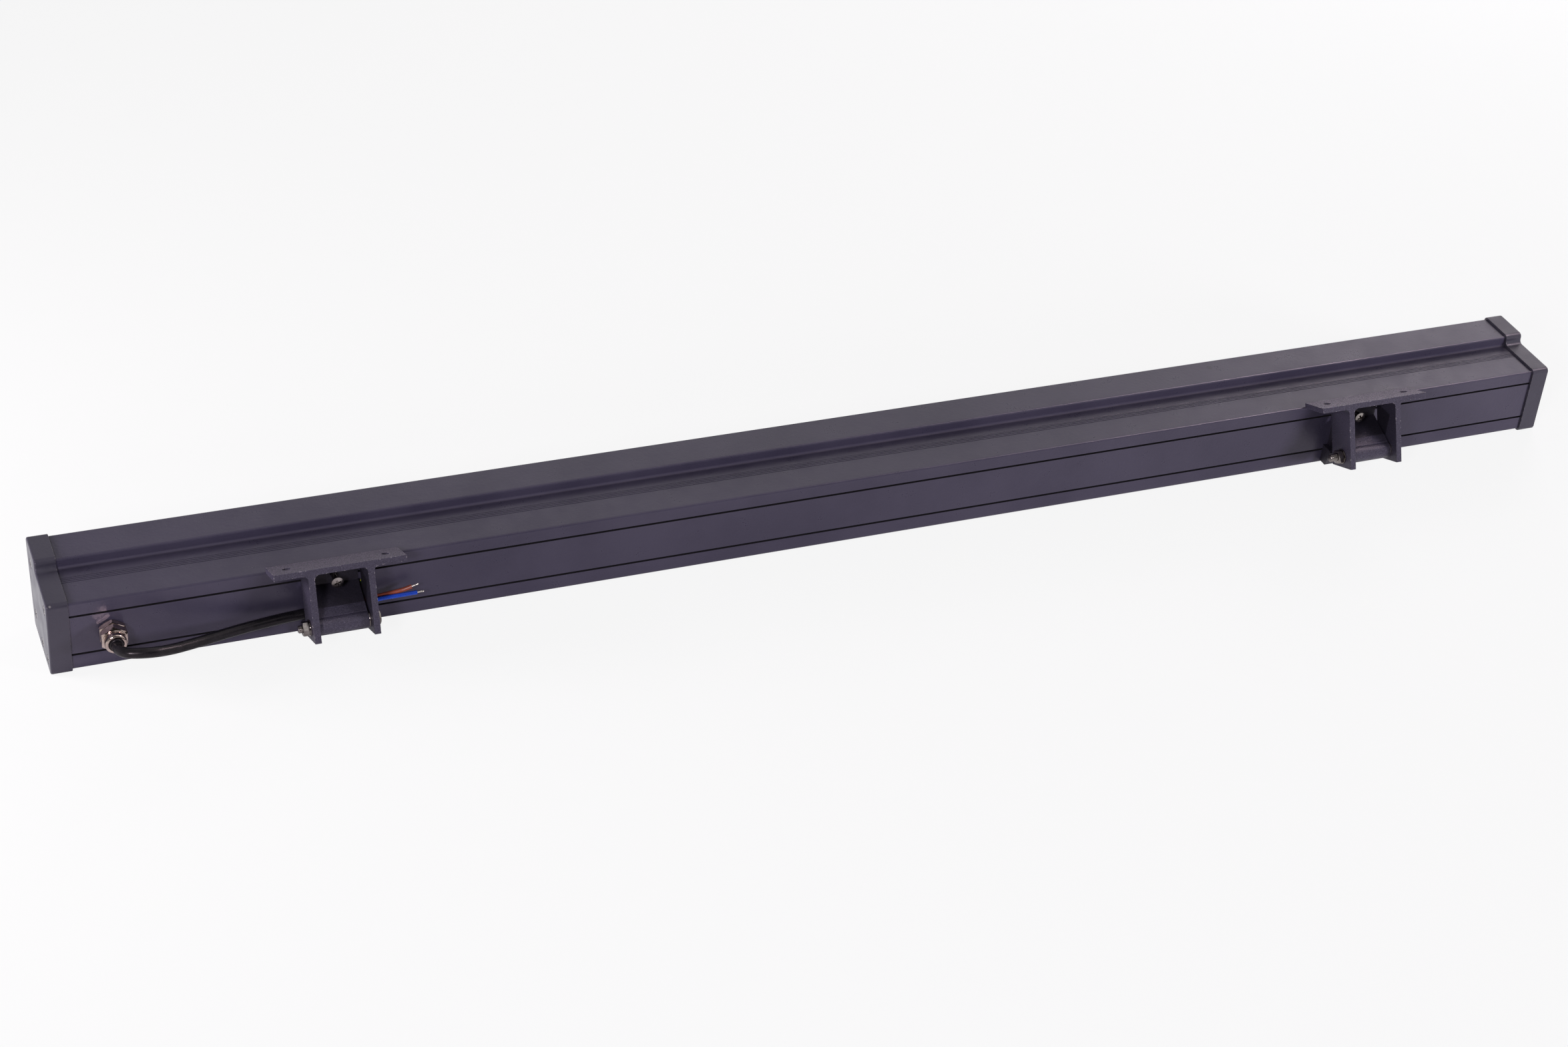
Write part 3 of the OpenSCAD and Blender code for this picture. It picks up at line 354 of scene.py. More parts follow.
# The case's section, as the caps and the window follow it

section = {
    "depth": 0.0635,
    "height": 0.0488,
    "headDepth": 0.0283,
    "headRise": 0.0065,
    "faceTilt": 12.0,
    "capCorner": 0.003,
    "housingCorner": 0.0013,
    "lip": 0.0014,
    "windowMiddle": 0.0272,
    "cornerSteps": 8,
}
headHeight = section["height"] + section["headRise"]
tilt = math.radians(section["faceTilt"])
faceFoot = section["depth"] - headHeight * math.tan(tilt)


def onFace(x, height, behind):
    # A point at a place along and up the window side, a distance behind it
    return Vector((x, caseNear + faceFoot + height * math.sin(tilt) - behind * math.cos(tilt),
                   height * math.cos(tilt) + behind * math.sin(tilt)))


def outline(inset, corner):
    # The section's outline with rounded corners, its points as (depth, height)
    shift, steps = inset / math.cos(tilt), section["cornerSteps"]
    sharp = [(inset, inset), (faceFoot + inset * math.tan(tilt) - shift, inset),
             (faceFoot + (headHeight - inset) * math.tan(tilt) - shift, headHeight - inset),
             (section["depth"] - section["headDepth"] + inset, headHeight - inset),
             (section["depth"] - section["headDepth"] + inset, section["height"] - inset),
             (inset, section["height"] - inset)]
    points = []
    for i, b in enumerate(sharp):
        b = Vector(b)
        u = (Vector(sharp[i - 1]) - b).normalized()
        v = (Vector(sharp[(i + 1) % len(sharp)]) - b).normalized()
        half = math.acos(max(-1, min(1, u.dot(v)))) / 2
        centre = b + (u + v).normalized() * corner / math.sin(half)
        first = b + u * corner / math.tan(half) - centre
        last = b + v * corner / math.tan(half) - centre
        start = math.atan2(first.y, first.x)
        turn = (math.atan2(last.y, last.x) - start + 3 * math.pi) % (2 * math.pi) - math.pi
        points += [centre + corner * Vector((math.cos(start + turn * k / steps),
                                             math.sin(start + turn * k / steps)))
                   for k in range(steps + 1)]
    return points


# End caps: cast shells with a rounded outer edge and five countersunk holes

cap = {
    "length": 0.0124,
    "wall": 0.0034,
    "edge": 0.0011,
    "rimEdge": 0.0003,
    "edgeSteps": 6,
    "holeRadius": 0.0019,
    "sinkRadius": 0.00315,
    "sinkDepth": 0.00155,
    "screwNear": 0.0074,
    "screwLow": 0.007,
    "screwMiddle": 0.024,
    "screwBehind": 0.01105,
    "screwOffWindow": 0.0158,
    "holeDepth": 0.008,
    "overrun": 0.001,
    "holeSides": 40,
}
capEnd = cadBox[1].x
screwSpots = [(caseNear + y, z) for y, z in (
    (cap["screwNear"], cap["screwLow"]), (cap["screwMiddle"], cap["screwLow"]),
    (cap["screwNear"], section["height"] - cap["screwNear"]))]
screwSpots += [tuple(onFace(0, section["windowMiddle"] + side * cap["screwOffWindow"],
                            cap["screwBehind"]).yz) for side in (-1, 1)]


def makeCap(side):
    def at(x, inset, corner):
        return [(side * x, caseNear + p.x, p.y) for p in outline(inset, corner)]
    start, corner = capEnd - cap["length"], section["capCorner"]
    soft = softShare * cap["rimEdge"]
    rings = [at(capEnd - cap["wall"], section["lip"], section["housingCorner"]),
             at(start, section["lip"], section["housingCorner"]),
             at(start, cap["rimEdge"], corner - cap["rimEdge"]),
             at(start + soft, soft, corner - soft),
             at(start + cap["rimEdge"], 0, corner)]
    for k in range(cap["edgeSteps"] + 1):
        angle = math.pi / 2 * k / cap["edgeSteps"]
        inset = cap["edge"] * (1 - math.cos(angle))
        rings.append(at(capEnd - cap["edge"] * (1 - math.sin(angle)), inset, corner - inset))
    name = "endCap" + ("Right" if side > 0 else "Left")
    made = meshObject(name, lambda bm: skin(bm, rings))

    def holes(bm):
        for y, z in screwSpots:
            place = axisPlace((side * capEnd, y, z), (-side, 0, 0))
            profile = [(cap["sinkRadius"] + cap["overrun"], -cap["overrun"]), (cap["sinkRadius"], 0),
                       (cap["holeRadius"], cap["sinkDepth"]), (cap["holeRadius"], cap["holeDepth"])]
            skin(bm, turned(profile, cap["holeSides"], place))
    carve(made, meshObject("capHoles", holes))
    shadeSmooth(made, 34)
    takePlace(made, "end_cap_" + ("right" if side > 0 else "left"))


# Screws: a domed countersunk head with a cross recess

axisRadius = 0.00005  # where a turned shape closes on its own axis
recessLift = 0.0001  # a recess's cutter starts this far under the crown
recessRows = ((1.15, 0.6), (1, 0), (0.5, -1))  # width and height of each row, as shares
screwTurns = {"first": 0.35, "next": 1.1}  # each screw stopped at its own turn, in radians
screwSides = 36


def crossRecess(bm, place, width, reach, depth):
    # A cross outline whose wings taper as they run down
    half = width / 2
    corner = [(half, half), (half, reach), (-half, reach)]
    cross = []
    for quarter in range(4):
        turn = Matrix.Rotation(quarter * math.pi / 2, 2)
        cross += [turn @ Vector(p) for p in corner]
    skin(bm, [[place @ Vector((scale * p.x, scale * p.y, depth * rise)) for p in cross]
              for scale, rise in recessRows])


def screwRings(screw, place):
    dome = arc((0, -screw["domeRadius"] + screw["crown"]), screw["domeRadius"], 90,
               90 - math.degrees(math.asin(screw["head"] / screw["domeRadius"])), 6)
    profile = [(screw["shank"], -screw["length"]), (screw["shank"], -screw["sink"]),
               (screw["head"], -screw["rim"])]
    return turned(profile + [(max(r, axisRadius), z) for r, z in reversed(dome)], screwSides,
                  place)


capScrew = {
    "under": 0.0001,
    "shank": 0.0015,
    "head": 0.00295,
    "sink": 0.0015,
    "rim": 0.00016,
    "crown": 0.00005,
    "domeRadius": 0.03,
    "length": 0.016,
    "recessWidth": 0.00085,
    "recessReach": 0.00165,
    "recessDepth": 0.0012,
}
armScrew = {
    "under": 0.00038,
    "shank": 0.00195,
    "head": 0.0035,
    "sink": 0.0021,
    "rim": 0.00095,
    "crown": 0.0,
    "domeRadius": 0.0105,
    "length": 0.0159,
    "recessWidth": 0.0011,
    "recessReach": 0.0022,
    "recessDepth": 0.0016,
}


def makeScrews(name, node, screw, places):
    made = meshObject(name, lambda bm: [skin(bm, screwRings(screw, p)) for p in places])
    lift = Matrix.Translation((0, 0, screw["crown"] - recessLift))

    def recesses(bm):
        for i, p in enumerate(places):
            turn = Matrix.Rotation(screwTurns["first"] + i * screwTurns["next"], 4, "Z")
            crossRecess(bm, p @ turn @ lift, screw["recessWidth"], screw["recessReach"],
                        screw["recessDepth"])
    carve(made, meshObject("recesses", recesses))
    shadeSmooth(made, 30)
    takePlace(made, node)


for side, word in ((-1, "left"), (1, "right")):
    makeCap(side)
    makeScrews("capScrews" + word.title(), "cap_screws_" + word, capScrew,
               [axisPlace((side * (capEnd - capScrew["under"]), y, z), (side, 0, 0))
                for y, z in screwSpots])
    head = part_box("arm_screw_" + word)
    middle = (head[0] + head[1]) / 2
    makeScrews("armScrew" + word.title(), "arm_screw_" + word, armScrew,
               [axisPlace((middle.x, head[0].y + armScrew["under"], middle.z), (0, -1, 0))])
print("caps and screws made")


# Housing, arms and brackets keep the frame's shape, with coated edges

coatedEdge = {"housing": 0.0, "arm": 0.0003, "bracket": 0.0004, "glass": 0.0003}
softened("housing", "caseHousing", coatedEdge["housing"], sharpFrom=25)
for word in ("left", "right"):
    softened("hinge_arm_" + word, "hingeArm" + word.title(), coatedEdge["arm"], 2)
    softened("bracket_" + word, "bracket" + word.title(), coatedEdge["bracket"], 3)
softened("window_glass", "windowGlass", coatedEdge["glass"], 2)
print("housing, arms and brackets softened")


# Hinge hardware: hexagon-head bolt with a cut thread, nut, washers and spacer

def hexagonAt(flats, chamferRadius, low, high):
    # Flattens a turned profile to a hexagon whose corners are chamfered at 30 degrees
    def flatten(radius, height, angle):
        side = flats / 2 / math.cos((angle + math.pi / 6) % (math.pi / 3) - math.pi / 6)
        r = min(radius, side)
        drop = max(0, r - chamferRadius) * math.tan(math.radians(30))
        return r, min(max(height, low + drop), high - drop)
    return flatten


def hexProfile(bore, flats, chamferRadius, low, high):
    corner = flats / 2 / math.cos(math.pi / 6)
    return [(bore, low), (chamferRadius, low), (corner, low), (corner, (low + high) / 2),
            (corner, high), (chamferRadius, high), (bore, high)]


hinge = {
    "flats": 0.008,
    "chamfer": 0.0038,
    "headHeight": 0.0015,
    "boltRadius": 0.0025,
    "pitch": 0.0008,
    "threadDepth": 0.0004,
    "threadLength": 0.0125,
    "threadRows": 6,
    "threadFlank": 2.6,
    "endTaper": (0.0007, 0.0004),
    "runOut": 0.001,
    "restTilt": -22.6,
    "sides": 48,
    "boreGap": 0.0002,
    "nutBoreGap": 0.0001,
    "washerRadius": 0.0049,
    "washer": 0.001,
    "spacerRadius": 0.005,
    "edge": 0.00022,
}


def closedRing(bm, rings):
    # Joins rings and the last one to the first, round a bore
    count = len(rings[0])
    rows = [[bm.verts.new(p) for p in ring] for ring in rings]
    for a, b in zip(rows, rows[1:] + rows[:1]):
        for k in range(count):
            bm.faces.new((a[k], a[(k + 1) % count], b[(k + 1) % count], b[k]))
    bmesh.ops.recalc_face_normals(bm, faces=bm.faces)


def ringProfile(bore, outer, low, high, edge):
    soft = softShare * edge
    return [(bore, low), (bore, high), (outer - edge, high), (outer - soft, high - soft),
            (outer, high - edge), (outer, low + edge), (outer - soft, low + soft), (outer - edge, low)]


def makeHinge(word):
    joint = next(j for j in frame["joints"] if j["child"] == word + "_bracket")
    pivot = Vector(joint["pos_m"])
    tiltTurn = Matrix.Rotation(math.radians(hinge["restTilt"]), 4, "X")
    place = Matrix.Translation(pivot) @ tiltTurn @ Matrix.Rotation(math.pi / 2, 4, "Y")
    nutBox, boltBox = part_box("pivot_nut_" + word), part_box("pivot_bolt_" + word)
    spacerBox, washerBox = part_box("pivot_spacer_" + word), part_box("pivot_washers_" + word)
    low, high = boltBox[0].x - pivot.x, boltBox[1].x - pivot.x
    flats, chamfer, edge = hinge["flats"], hinge["chamfer"], hinge["edge"]
    shank, sides, bore = hinge["boltRadius"], hinge["sides"], hinge["boltRadius"] + hinge["boreGap"]

    def bolt(bm):
        headLow = high - hinge["headHeight"]
        profile = [(axisRadius, high), (chamfer, high), (flats, high), (flats, (headLow + high) / 2),
                   (flats, headLow), (chamfer, headLow), (shank, headLow),
                   (shank, headLow - hinge["runOut"])]
        shape = hexagonAt(flats, chamfer, headLow, high)
        head = turned(profile[:6], sides, place, shape)
        plain = turned(profile[6:], sides, place)
        rows = int(hinge["threadLength"] / hinge["pitch"] * hinge["threadRows"])
        taperLength, taperDepth = hinge["endTaper"]
        thread = []
        for i in range(rows + 1):
            z = low + hinge["threadLength"] * (1 - i / rows)
            ring = []
            for k in range(sides):
                angle = 2 * math.pi * k / sides
                phase = (z / hinge["pitch"] + angle / (2 * math.pi)) % 1
                cut = hinge["threadDepth"] * min(1, hinge["threadFlank"] * abs(phase - 0.5))
                taper = max(0, 1 - (z - low) / taperLength) * taperDepth
                r = shank - cut - taper
                ring.append(place @ Vector((r * math.cos(angle), r * math.sin(angle), z)))
            thread.append(ring)
        skin(bm, head + plain + thread)
    made = shadeSmooth(meshObject("pivotBolt" + word.title(), bolt), 40)
    takePlace(made, "pivot_bolt_" + word)

    def nut(bm):
        zLow, zHigh = nutBox[0].x - pivot.x, nutBox[1].x - pivot.x
        profile = hexProfile(shank + hinge["nutBoreGap"], flats, chamfer, zLow, zHigh)
        closedRing(bm, turned(profile, sides, place, hexagonAt(flats, chamfer, zLow, zHigh)))
    takePlace(shadeSmooth(meshObject("pivotNut" + word.title(), nut), 30), "pivot_nut_" + word)

    def washers(bm):
        for start in (washerBox[0].x - pivot.x, washerBox[1].x - pivot.x - hinge["washer"]):
            closedRing(bm, turned(ringProfile(bore, hinge["washerRadius"], start,
                                              start + hinge["washer"], edge), sides, place))
    takePlace(shadeSmooth(meshObject("pivotWashers" + word.title(), washers), 40),
              "pivot_washers_" + word)

    def spacer(bm):
        start, end = spacerBox[0].x - pivot.x, spacerBox[1].x - pivot.x
        closedRing(bm, turned(ringProfile(bore, hinge["spacerRadius"], start, end, edge), sides, place))
    takePlace(shadeSmooth(meshObject("pivotSpacer" + word.title(), spacer), 40),
              "pivot_spacer_" + word)


for word in ("left", "right"):
    makeHinge(word)
print("hinges made")


# Cable gland: hexagon body, dome nut with a smooth crown, rubber seal

gland = {
    "x": -0.4644,
    "height": 0.02495,
    "face": 0.00145,
    "flats": 0.0146,
    "chamfer": 0.0070,
    "bodyLow": 0.0008,
    "bodyHigh": 0.0048,
    "threadRadius": 0.0059,
    "threadIn": 0.0069,
    "bore": 0.0035,
    "nutLow": 0.005,
    "nutHigh": 0.01,
    "barrelRadius": 0.0063,
    "lipRadius": 0.0012,
    "domeHigh": 0.0148,
    "mouth": 0.0043,
    "sealNose": 0.0155,
    "sides": 72,
    "edge": 0.0003,
    "mouthEdge": 0.0005,
    "rootGap": 0.0002,
    "threadGap": 0.0001,
    "seat": 0.0004,
    "sealGap": 0.00005,
    "cableGap": 0.00003,
    "noseCurve": ((0.0, 0.0012), (0.0002, 0.0006), (0.0006, 0.0001), (0.0009, 0.0)),
}


def makeGland():
    place = axisPlace((gland["x"], caseNear + gland["face"], gland["height"]), (0, -1, 0))
    flats, chamfer, sides = gland["flats"], gland["chamfer"], gland["sides"]
    edge, seat = gland["edge"], gland["nutHigh"] - gland["seat"]

    def body(bm):
        low, high = gland["bodyLow"], gland["bodyHigh"]
        inner, screw, end = gland["bore"], gland["threadRadius"], -gland["threadIn"]
        root = screw - gland["rootGap"]
        rings = turned([(inner, end), (screw - edge, end), (screw, end + edge), (screw, low)],
                       sides, place)
        rings += turned([(chamfer, low), (flats, low), (flats, high), (chamfer, high)], sides, place,
                        hexagonAt(flats, chamfer, low, high))
        rings += turned([(root, high), (root, seat), (inner, seat)], sides, place)
        closedRing(bm, rings)
    takePlace(shadeSmooth(meshObject("glandBody", body), 30), "gland_body")

    def dome(bm):
        low, high, top = gland["nutLow"], gland["nutHigh"], gland["domeHigh"]
        lip, outer, mouth = gland["lipRadius"], gland["barrelRadius"], gland["mouth"]
        curl, inner = gland["mouthEdge"], gland["threadRadius"] + gland["threadGap"]
        rings = turned([(inner, low)], sides, place)
        rings += turned([(chamfer, low), (flats, low), (flats, high), (chamfer, high)], sides,
                        place, hexagonAt(flats, chamfer, low, high))
        profile = [(outer + edge, high), (outer, high + edge)]
        profile += arc((outer - lip, top - lip), lip, 0, 90, 8)
        profile += arc((mouth + curl, top - curl), curl, 90, 180, 4)
        rings += turned(profile + [(mouth, seat), (inner, seat)], sides, place)
        closedRing(bm, rings)
    takePlace(shadeSmooth(meshObject("glandDomeNut", dome), 30), "gland_dome_nut")

    def seal(bm):
        outer, cable = gland["mouth"] - gland["sealGap"], cords["cableRadius"] + gland["cableGap"]
        low, nose = gland["nutHigh"], gland["sealNose"]
        curve = [(outer - inward, nose - back) for inward, back in gland["noseCurve"]]
        closedRing(bm, turned([(cable, low), (outer, low)] + curve + [(cable, nose)], sides, place))
    takePlace(shadeSmooth(meshObject("glandSeal", seal), 35), "gland_seal")


makeGland()
print("gland made")


# Lamps behind the window: moulded lenses and phosphor chips

lamps = {
    "count": 24,
    "pitch": 0.04,
    "lensBehind": 0.02005,
    "lensLength": 0.011,
    "rimRadius": 0.0112,
    "lensRadius": 0.0104,
    "footRadius": 0.004,
    "chipBehind": 0.02155,
    "chipSize": 0.0035,
    "chipHeight": 0.0009,
    "chipEdge": 0.0003,
    "chipCorner": 0.0004,
    "rimHeight": 0.001,
    "rimEdge": 0.0002,
    "footDish": 0.0006,
    "mouthEdge": 0.0003,
    "wellDepth": 0.004,
    "wellDrops": (0.0006, 0.0002),
    "footShare": 0.7,
    "lensSides": 40,
}
bowShares = (0, 0.12, 0.26, 0.42, 0.6, 0.8, 1)  # where the lens's side is cut into rings
bowPower = 1.7
mouthShares = (0.56, 0.53, 0.46, 0.4, 0.2)  # rings from the flat rim in to the well, of the radius
chipShares = (0.55, 0.6, 0.85)  # heights where the chip's sides step in


def lampPlace(i, behind):
    x = (i - (lamps["count"] - 1) / 2) * lamps["pitch"]
    turn = Matrix.Rotation(-math.pi / 2 - tilt, 4, "X")
    return Matrix.Translation(onFace(x, section["windowMiddle"], behind)) @ turn


def lens(bm, place):
    # A collimator: bowed outside, flat rim, and a round well in its mouth
    length, rim, r, foot = (lamps[k] for k in ("lensLength", "rimRadius", "lensRadius", "footRadius"))
    rimFoot, edge, half = length - lamps["rimHeight"], lamps["rimEdge"], lamps["rimEdge"] / 2
    bow = [(foot + (r - foot) * (1 - (1 - t) ** bowPower), rimFoot * t) for t in bowShares]
    flat, lip, wall, bottom, middle = (share * r for share in mouthShares)
    low, drops = length - lamps["wellDepth"], lamps["wellDrops"]
    mouth = [(rim - half, rimFoot), (rim, rimFoot + edge), (rim, length - edge),
             (rim - edge, length), (flat, length), (lip, length - lamps["mouthEdge"])]
    well = [(wall, low), (bottom, low - drops[0]), (middle, low - drops[1]), (axisRadius, low)]
    start = [(axisRadius, lamps["footDish"]), (foot * lamps["footShare"], 0)]
    skin(bm, turned(start + bow + mouth + well, lamps["lensSides"], place))


def chip(bm, place):
    half, edge, high = lamps["chipSize"] / 2, lamps["chipEdge"], lamps["chipHeight"]
    corner = lamps["chipCorner"]

    def square(half, z):
        centre, corners = half - corner, []
        for cx, cy, start in ((1, 1, 0), (-1, 1, 90), (-1, -1, 180), (1, -1, 270)):
            corners += [place @ Vector((x, y, z)) for x, y in
                        arc((cx * centre, cy * centre), corner, start, start + 90, 3)]
        return corners
    first, second, third = (share * high for share in chipShares)
    skin(bm, [square(half, 0), square(half, first), square(half - edge, second),
              square(half - 2 * edge, third), square(half - 3 * edge, high)])


def makeLamps():
    every = range(lamps["count"])
    made = meshObject("lampLenses", lambda bm: [
        lens(bm, lampPlace(i, lamps["lensBehind"])) for i in every])
    takePlace(shadeSmooth(made, 35), "lenses")
    made = meshObject("ledChips", lambda bm: [
        chip(bm, lampPlace(i, lamps["chipBehind"])) for i in every])
    takePlace(shadeSmooth(made, 35), "led_chips")


makeLamps()
print("lamps made")


# Finishes

class Sock:
    # A socket of a node tree, so that shader maths reads as an expression
    def __init__(self, finish, out):
        self.finish, self.out = finish, out

    def maths(self, operation, a, b):
        return self.finish.node("ShaderNodeMath", {"operation": operation}, {0: a, 1: b})

    def __add__(self, other):
        return self.maths("ADD", self, other)

    __radd__ = __add__

    def __sub__(self, other):
        return self.maths("SUBTRACT", self, other)

    def __rsub__(self, other):
        return self.maths("SUBTRACT", other, self)

    def __mul__(self, other):
        return self.maths("MULTIPLY", self, other)

    __rmul__ = __mul__

    def __gt__(self, other):
        return self.maths("GREATER_THAN", self, other)

    def __lt__(self, other):
        return self.maths("LESS_THAN", self, other)


class Finish:
    def __init__(self, name, tree=None):
        if tree is None:
            self.material = bpy.data.materials.new(name)
            self.material.use_nodes = True
            tree = self.material.node_tree
        self.tree = tree
        self.tree.nodes.clear()

    def node(self, kind, settings=None, sockets=None, output=0):
        made = self.tree.nodes.new(kind)
        for key, value in (settings or {}).items():
            if key == "stops":
                ramp = made.color_ramp
                while len(ramp.elements) < len(value):
                    ramp.elements.new(1)
                for element, (place, colour) in zip(ramp.elements, value):
                    element.position, element.color = place, (*colour, 1)
            else:
                setattr(made, key, value)
        for key, value in (sockets or {}).items():
            if isinstance(value, Sock):
                self.tree.links.new(value.out, made.inputs[key])
            elif hasattr(made.inputs[key].default_value, "__len__") and len(value) == 3 \
                    and len(made.inputs[key].default_value) == 4:
                made.inputs[key].default_value = (*value, 1)
            else:
                made.inputs[key].default_value = value
        return Sock(self, made.outputs[output]) if made.outputs else None

    def showsWhite(self, mirrored=1.0):
        # 1 on the rays that look straight at the background, or see it in metal or glass
        seen = [self.node("ShaderNodeLightPath", output=f"Is {kind} Ray")
                for kind in ("Camera", "Glossy", "Transmission")]
        return seen[0] + seen[1] * mirrored + seen[2]

    def place(self):
        return self.node("ShaderNodeTexCoord", output=3)

    def axis(self, place, letter):
        return self.node("ShaderNodeSeparateXYZ", {}, {0: place}, "XYZ".index(letter))

    def box(self, place, *spans):
        # 1 between the low and high given for each axis, such as ("Z", 0.01, 0.02)
        inside = 1.0
        for letter, low, high in spans:
            along = self.axis(place, letter)
            inside = (along > low) * (along < high) * inside
        return inside

    def stretch(self, place, scale):
        return self.node("ShaderNodeVectorMath", {"operation": "MULTIPLY"}, {0: place, 1: scale})

    def noise(self, place, size, detail=2.0, rough=0.5):
        return self.node("ShaderNodeTexNoise", {}, {
            "Vector": place, "Scale": 1 / size, "Detail": detail, "Roughness": rough})

    def between(self, value, low, high, toLow=0.0, toHigh=1.0):
        # Clamped and eased from low-high to toLow-toHigh
        return self.node("ShaderNodeMapRange", {"interpolation_type": "SMOOTHSTEP"}, {
            0: value, 1: low, 2: high, 3: toLow, 4: toHigh})

    def blend(self, share, a, b):
        return self.node("ShaderNodeMix", {"data_type": "RGBA"}, {0: share, 6: a, 7: b}, 2)

    def ball(self, place, centre, radius, edge):
        # 1 inside a ball, 0 outside it
        far = self.node("ShaderNodeVectorMath", {"operation": "DISTANCE"}, {0: place, 1: centre}, 1)
        return self.between(far, radius - edge, radius, 1.0, 0.0)

    def bump(self, height, depth, under=None):
        sockets = {"Strength": 1.0, "Distance": depth, "Height": height}
        if under is not None:
            sockets["Normal"] = under
        return self.node("ShaderNodeBump", {}, sockets)

    def surface(self, **sockets):
        named = {key.replace("_", " "): value for key, value in sockets.items()}
        shader = self.node("ShaderNodeBsdfPrincipled", {}, named)
        self.node("ShaderNodeOutputMaterial", {}, {"Surface": shader})
        return self.material


usual = (0.3, 0.7)  # where most of a noise's values lie
coatingTint = (1.0, 0.9, 1.0, 1.0)
# Sizes of what the finishes show, in metres
features = {
    "coatCloud": 0.055,
    "coatPeel": 0.0022,
    "coatGrain": 0.0009,
    "coatSheen": 0.012,
    "coatWear": 0.002,
    "sand": 0.00062,
    "sandCoarse": 0.0021,
    "sandWear": 0.0016,
    "metalCloud": 0.006,
    "metalGrain": 0.0009,
    "plasticCloud": 0.02,
    "cableRipple": 0.006,
    "cableGrain": 0.00035,
    "glassSmear": 0.03,
    "sleeveGrain": 0.0005,
    "boardGrain": 0.0006,
    "paperGrain": 0.02,
}
caseLook = {
    # Painted glints: how many paler specks, and how pale they are
    "glintShare": 0.12,
    "glintPale": 1.35,
    "grainRough": 0.06,
    "sheen": (-0.04, 0.05),
    "wornEdge": 0.0004,
    # Edge colour: partly bared metal, partly a painted highlight along the cap's rims
    "wornColour": (0.3, 0.27, 0.27),
    "markEdge": 0.35,
    # Painted shade: the near-black colour painted inside the long grooves
    "grooveShadeColour": (0.001, 0.001, 0.0015),
    "grooveHeights": (0.0117, 0.0382),
    "grooveHalf": 0.00068,
    "grooveFrom": -0.001,
    "grooveTo": 0.006,
    "stepFoot": (("Y", caseNear + 0.035, caseNear + 0.0368), ("Z", 0.047, 0.0487)),
    "stepRough": 0.4,
    "speck": ((0.484, 0.0304, 0.0539), 0.0008, (0.008, 0.008, 0.01)),
    # Painted shade: a dark spot for the shade of a dent, which the case's shape doesn't have
    "dentShade": ((0.2665, 0.0394, 0.0539), 0.0024, (0.02, 0.019, 0.03)),
    "capChip": ((-0.4975, caseNear + 0.001, 0.0479), 0.0008, (0.16, 0.15, 0.15)),
}


def coating(name, dark, pale, peelDepth, roughness, marks=(), wornAndLit=0.0, grooves=(), corner=None):
    # Powder coat with orange peel; marks are balls of another colour, and worn edges are paler in
    # patches, partly bared metal and partly a painted highlight along the rims
    f = Finish(name)
    place = f.place()
    cloud = f.noise(place, features["coatCloud"], 3.0)
    peel = f.noise(place, features["coatPeel"], 1.0)
    grain = f.noise(place, features["coatGrain"], 1.0)
    tone = f.blend(f.between(cloud, *usual), dark, pale)
    # Painted glints: paler specks in the grain, for sparkle on the coat
    glints = f.between(grain, 0.35, 0.75) * caseLook["glintShare"]
    tone = f.blend(glints, tone, [caseLook["glintPale"] * c for c in pale])
    dull = 0.0
    for height in grooves:
        # Painted shade: the long grooves are painted near black inside, for the shade deep in them
        groove = f.box(
            place, ("Y", caseNear + caseLook["grooveFrom"], caseNear + caseLook["grooveTo"]),
            ("Z", height - caseLook["grooveHalf"], height + caseLook["grooveHalf"]))
        tone = f.blend(groove, tone, caseLook["grooveShadeColour"])
        dull = groove + dull
    if corner:
        # The step's foot is rougher, so that it draws no bright line
        dull = f.box(place, *corner) * caseLook["stepRough"] + dull
    for centre, radius, colour in marks:
        tone = f.blend(f.ball(place, centre, radius, radius * caseLook["markEdge"]), tone, colour)
    # Pale edges in patches: partly chipped paint, partly a painted highlight along the cap's rims
    if wornAndLit:
        patches = f.between(f.noise(place, features["coatWear"], 2.0), 0.45, 0.62)
        bareAndLit = edgeWear(f, caseLook["wornEdge"]) * patches
        tone = f.blend(bareAndLit * wornAndLit, tone, caseLook["wornColour"])
    smoother, rougher = caseLook["sheen"]
    rough = f.between(f.noise(place, features["coatSheen"], 2.0), *usual, roughness + smoother,
                      roughness + rougher) + grain * caseLook["grainRough"] + dull
    return f.surface(Base_Color=tone, Roughness=rough, Normal=f.bump(peel, peelDepth),
                     Specular_Tint=coatingTint)


def edgeWear(f, reach):
    # 1 on an edge, 0 on the faces beside it
    rounded = f.node("ShaderNodeBevel", {"samples": 4}, {"Radius": reach})
    flat = f.node("ShaderNodeNewGeometry", output=1)
    agree = f.node("ShaderNodeVectorMath", {"operation": "DOT_PRODUCT"}, {0: rounded, 1: flat}, 1)
    return f.between(1 - agree, 0.02, 0.12)


bracketLook = {
    "armHalf": 0.019,
    "armTop": 0.044,
    "floor": -0.001,
    "webBehindPivot": 0.0057,
    # Painted shade on the arms' webs under the plates
    "webShadeShare": 0.7,
    "webShadeColour": (0.004, 0.0035, 0.0055),
    "wornEdge": 0.0007,
    "wornColour": (0.4, 0.36, 0.38),
    # Painted light on the plates' upward faces, paler to the right
    "topLitColour": (0.36, 0.3, 0.38),
    "topLitShares": (0.25, 0.8),
    "coarseShare": 0.4,
    "coarseColour": (0.036, 0.032, 0.052),
    "sandDepth": 0.0002,
    "coarseDepth": 0.00018,
}


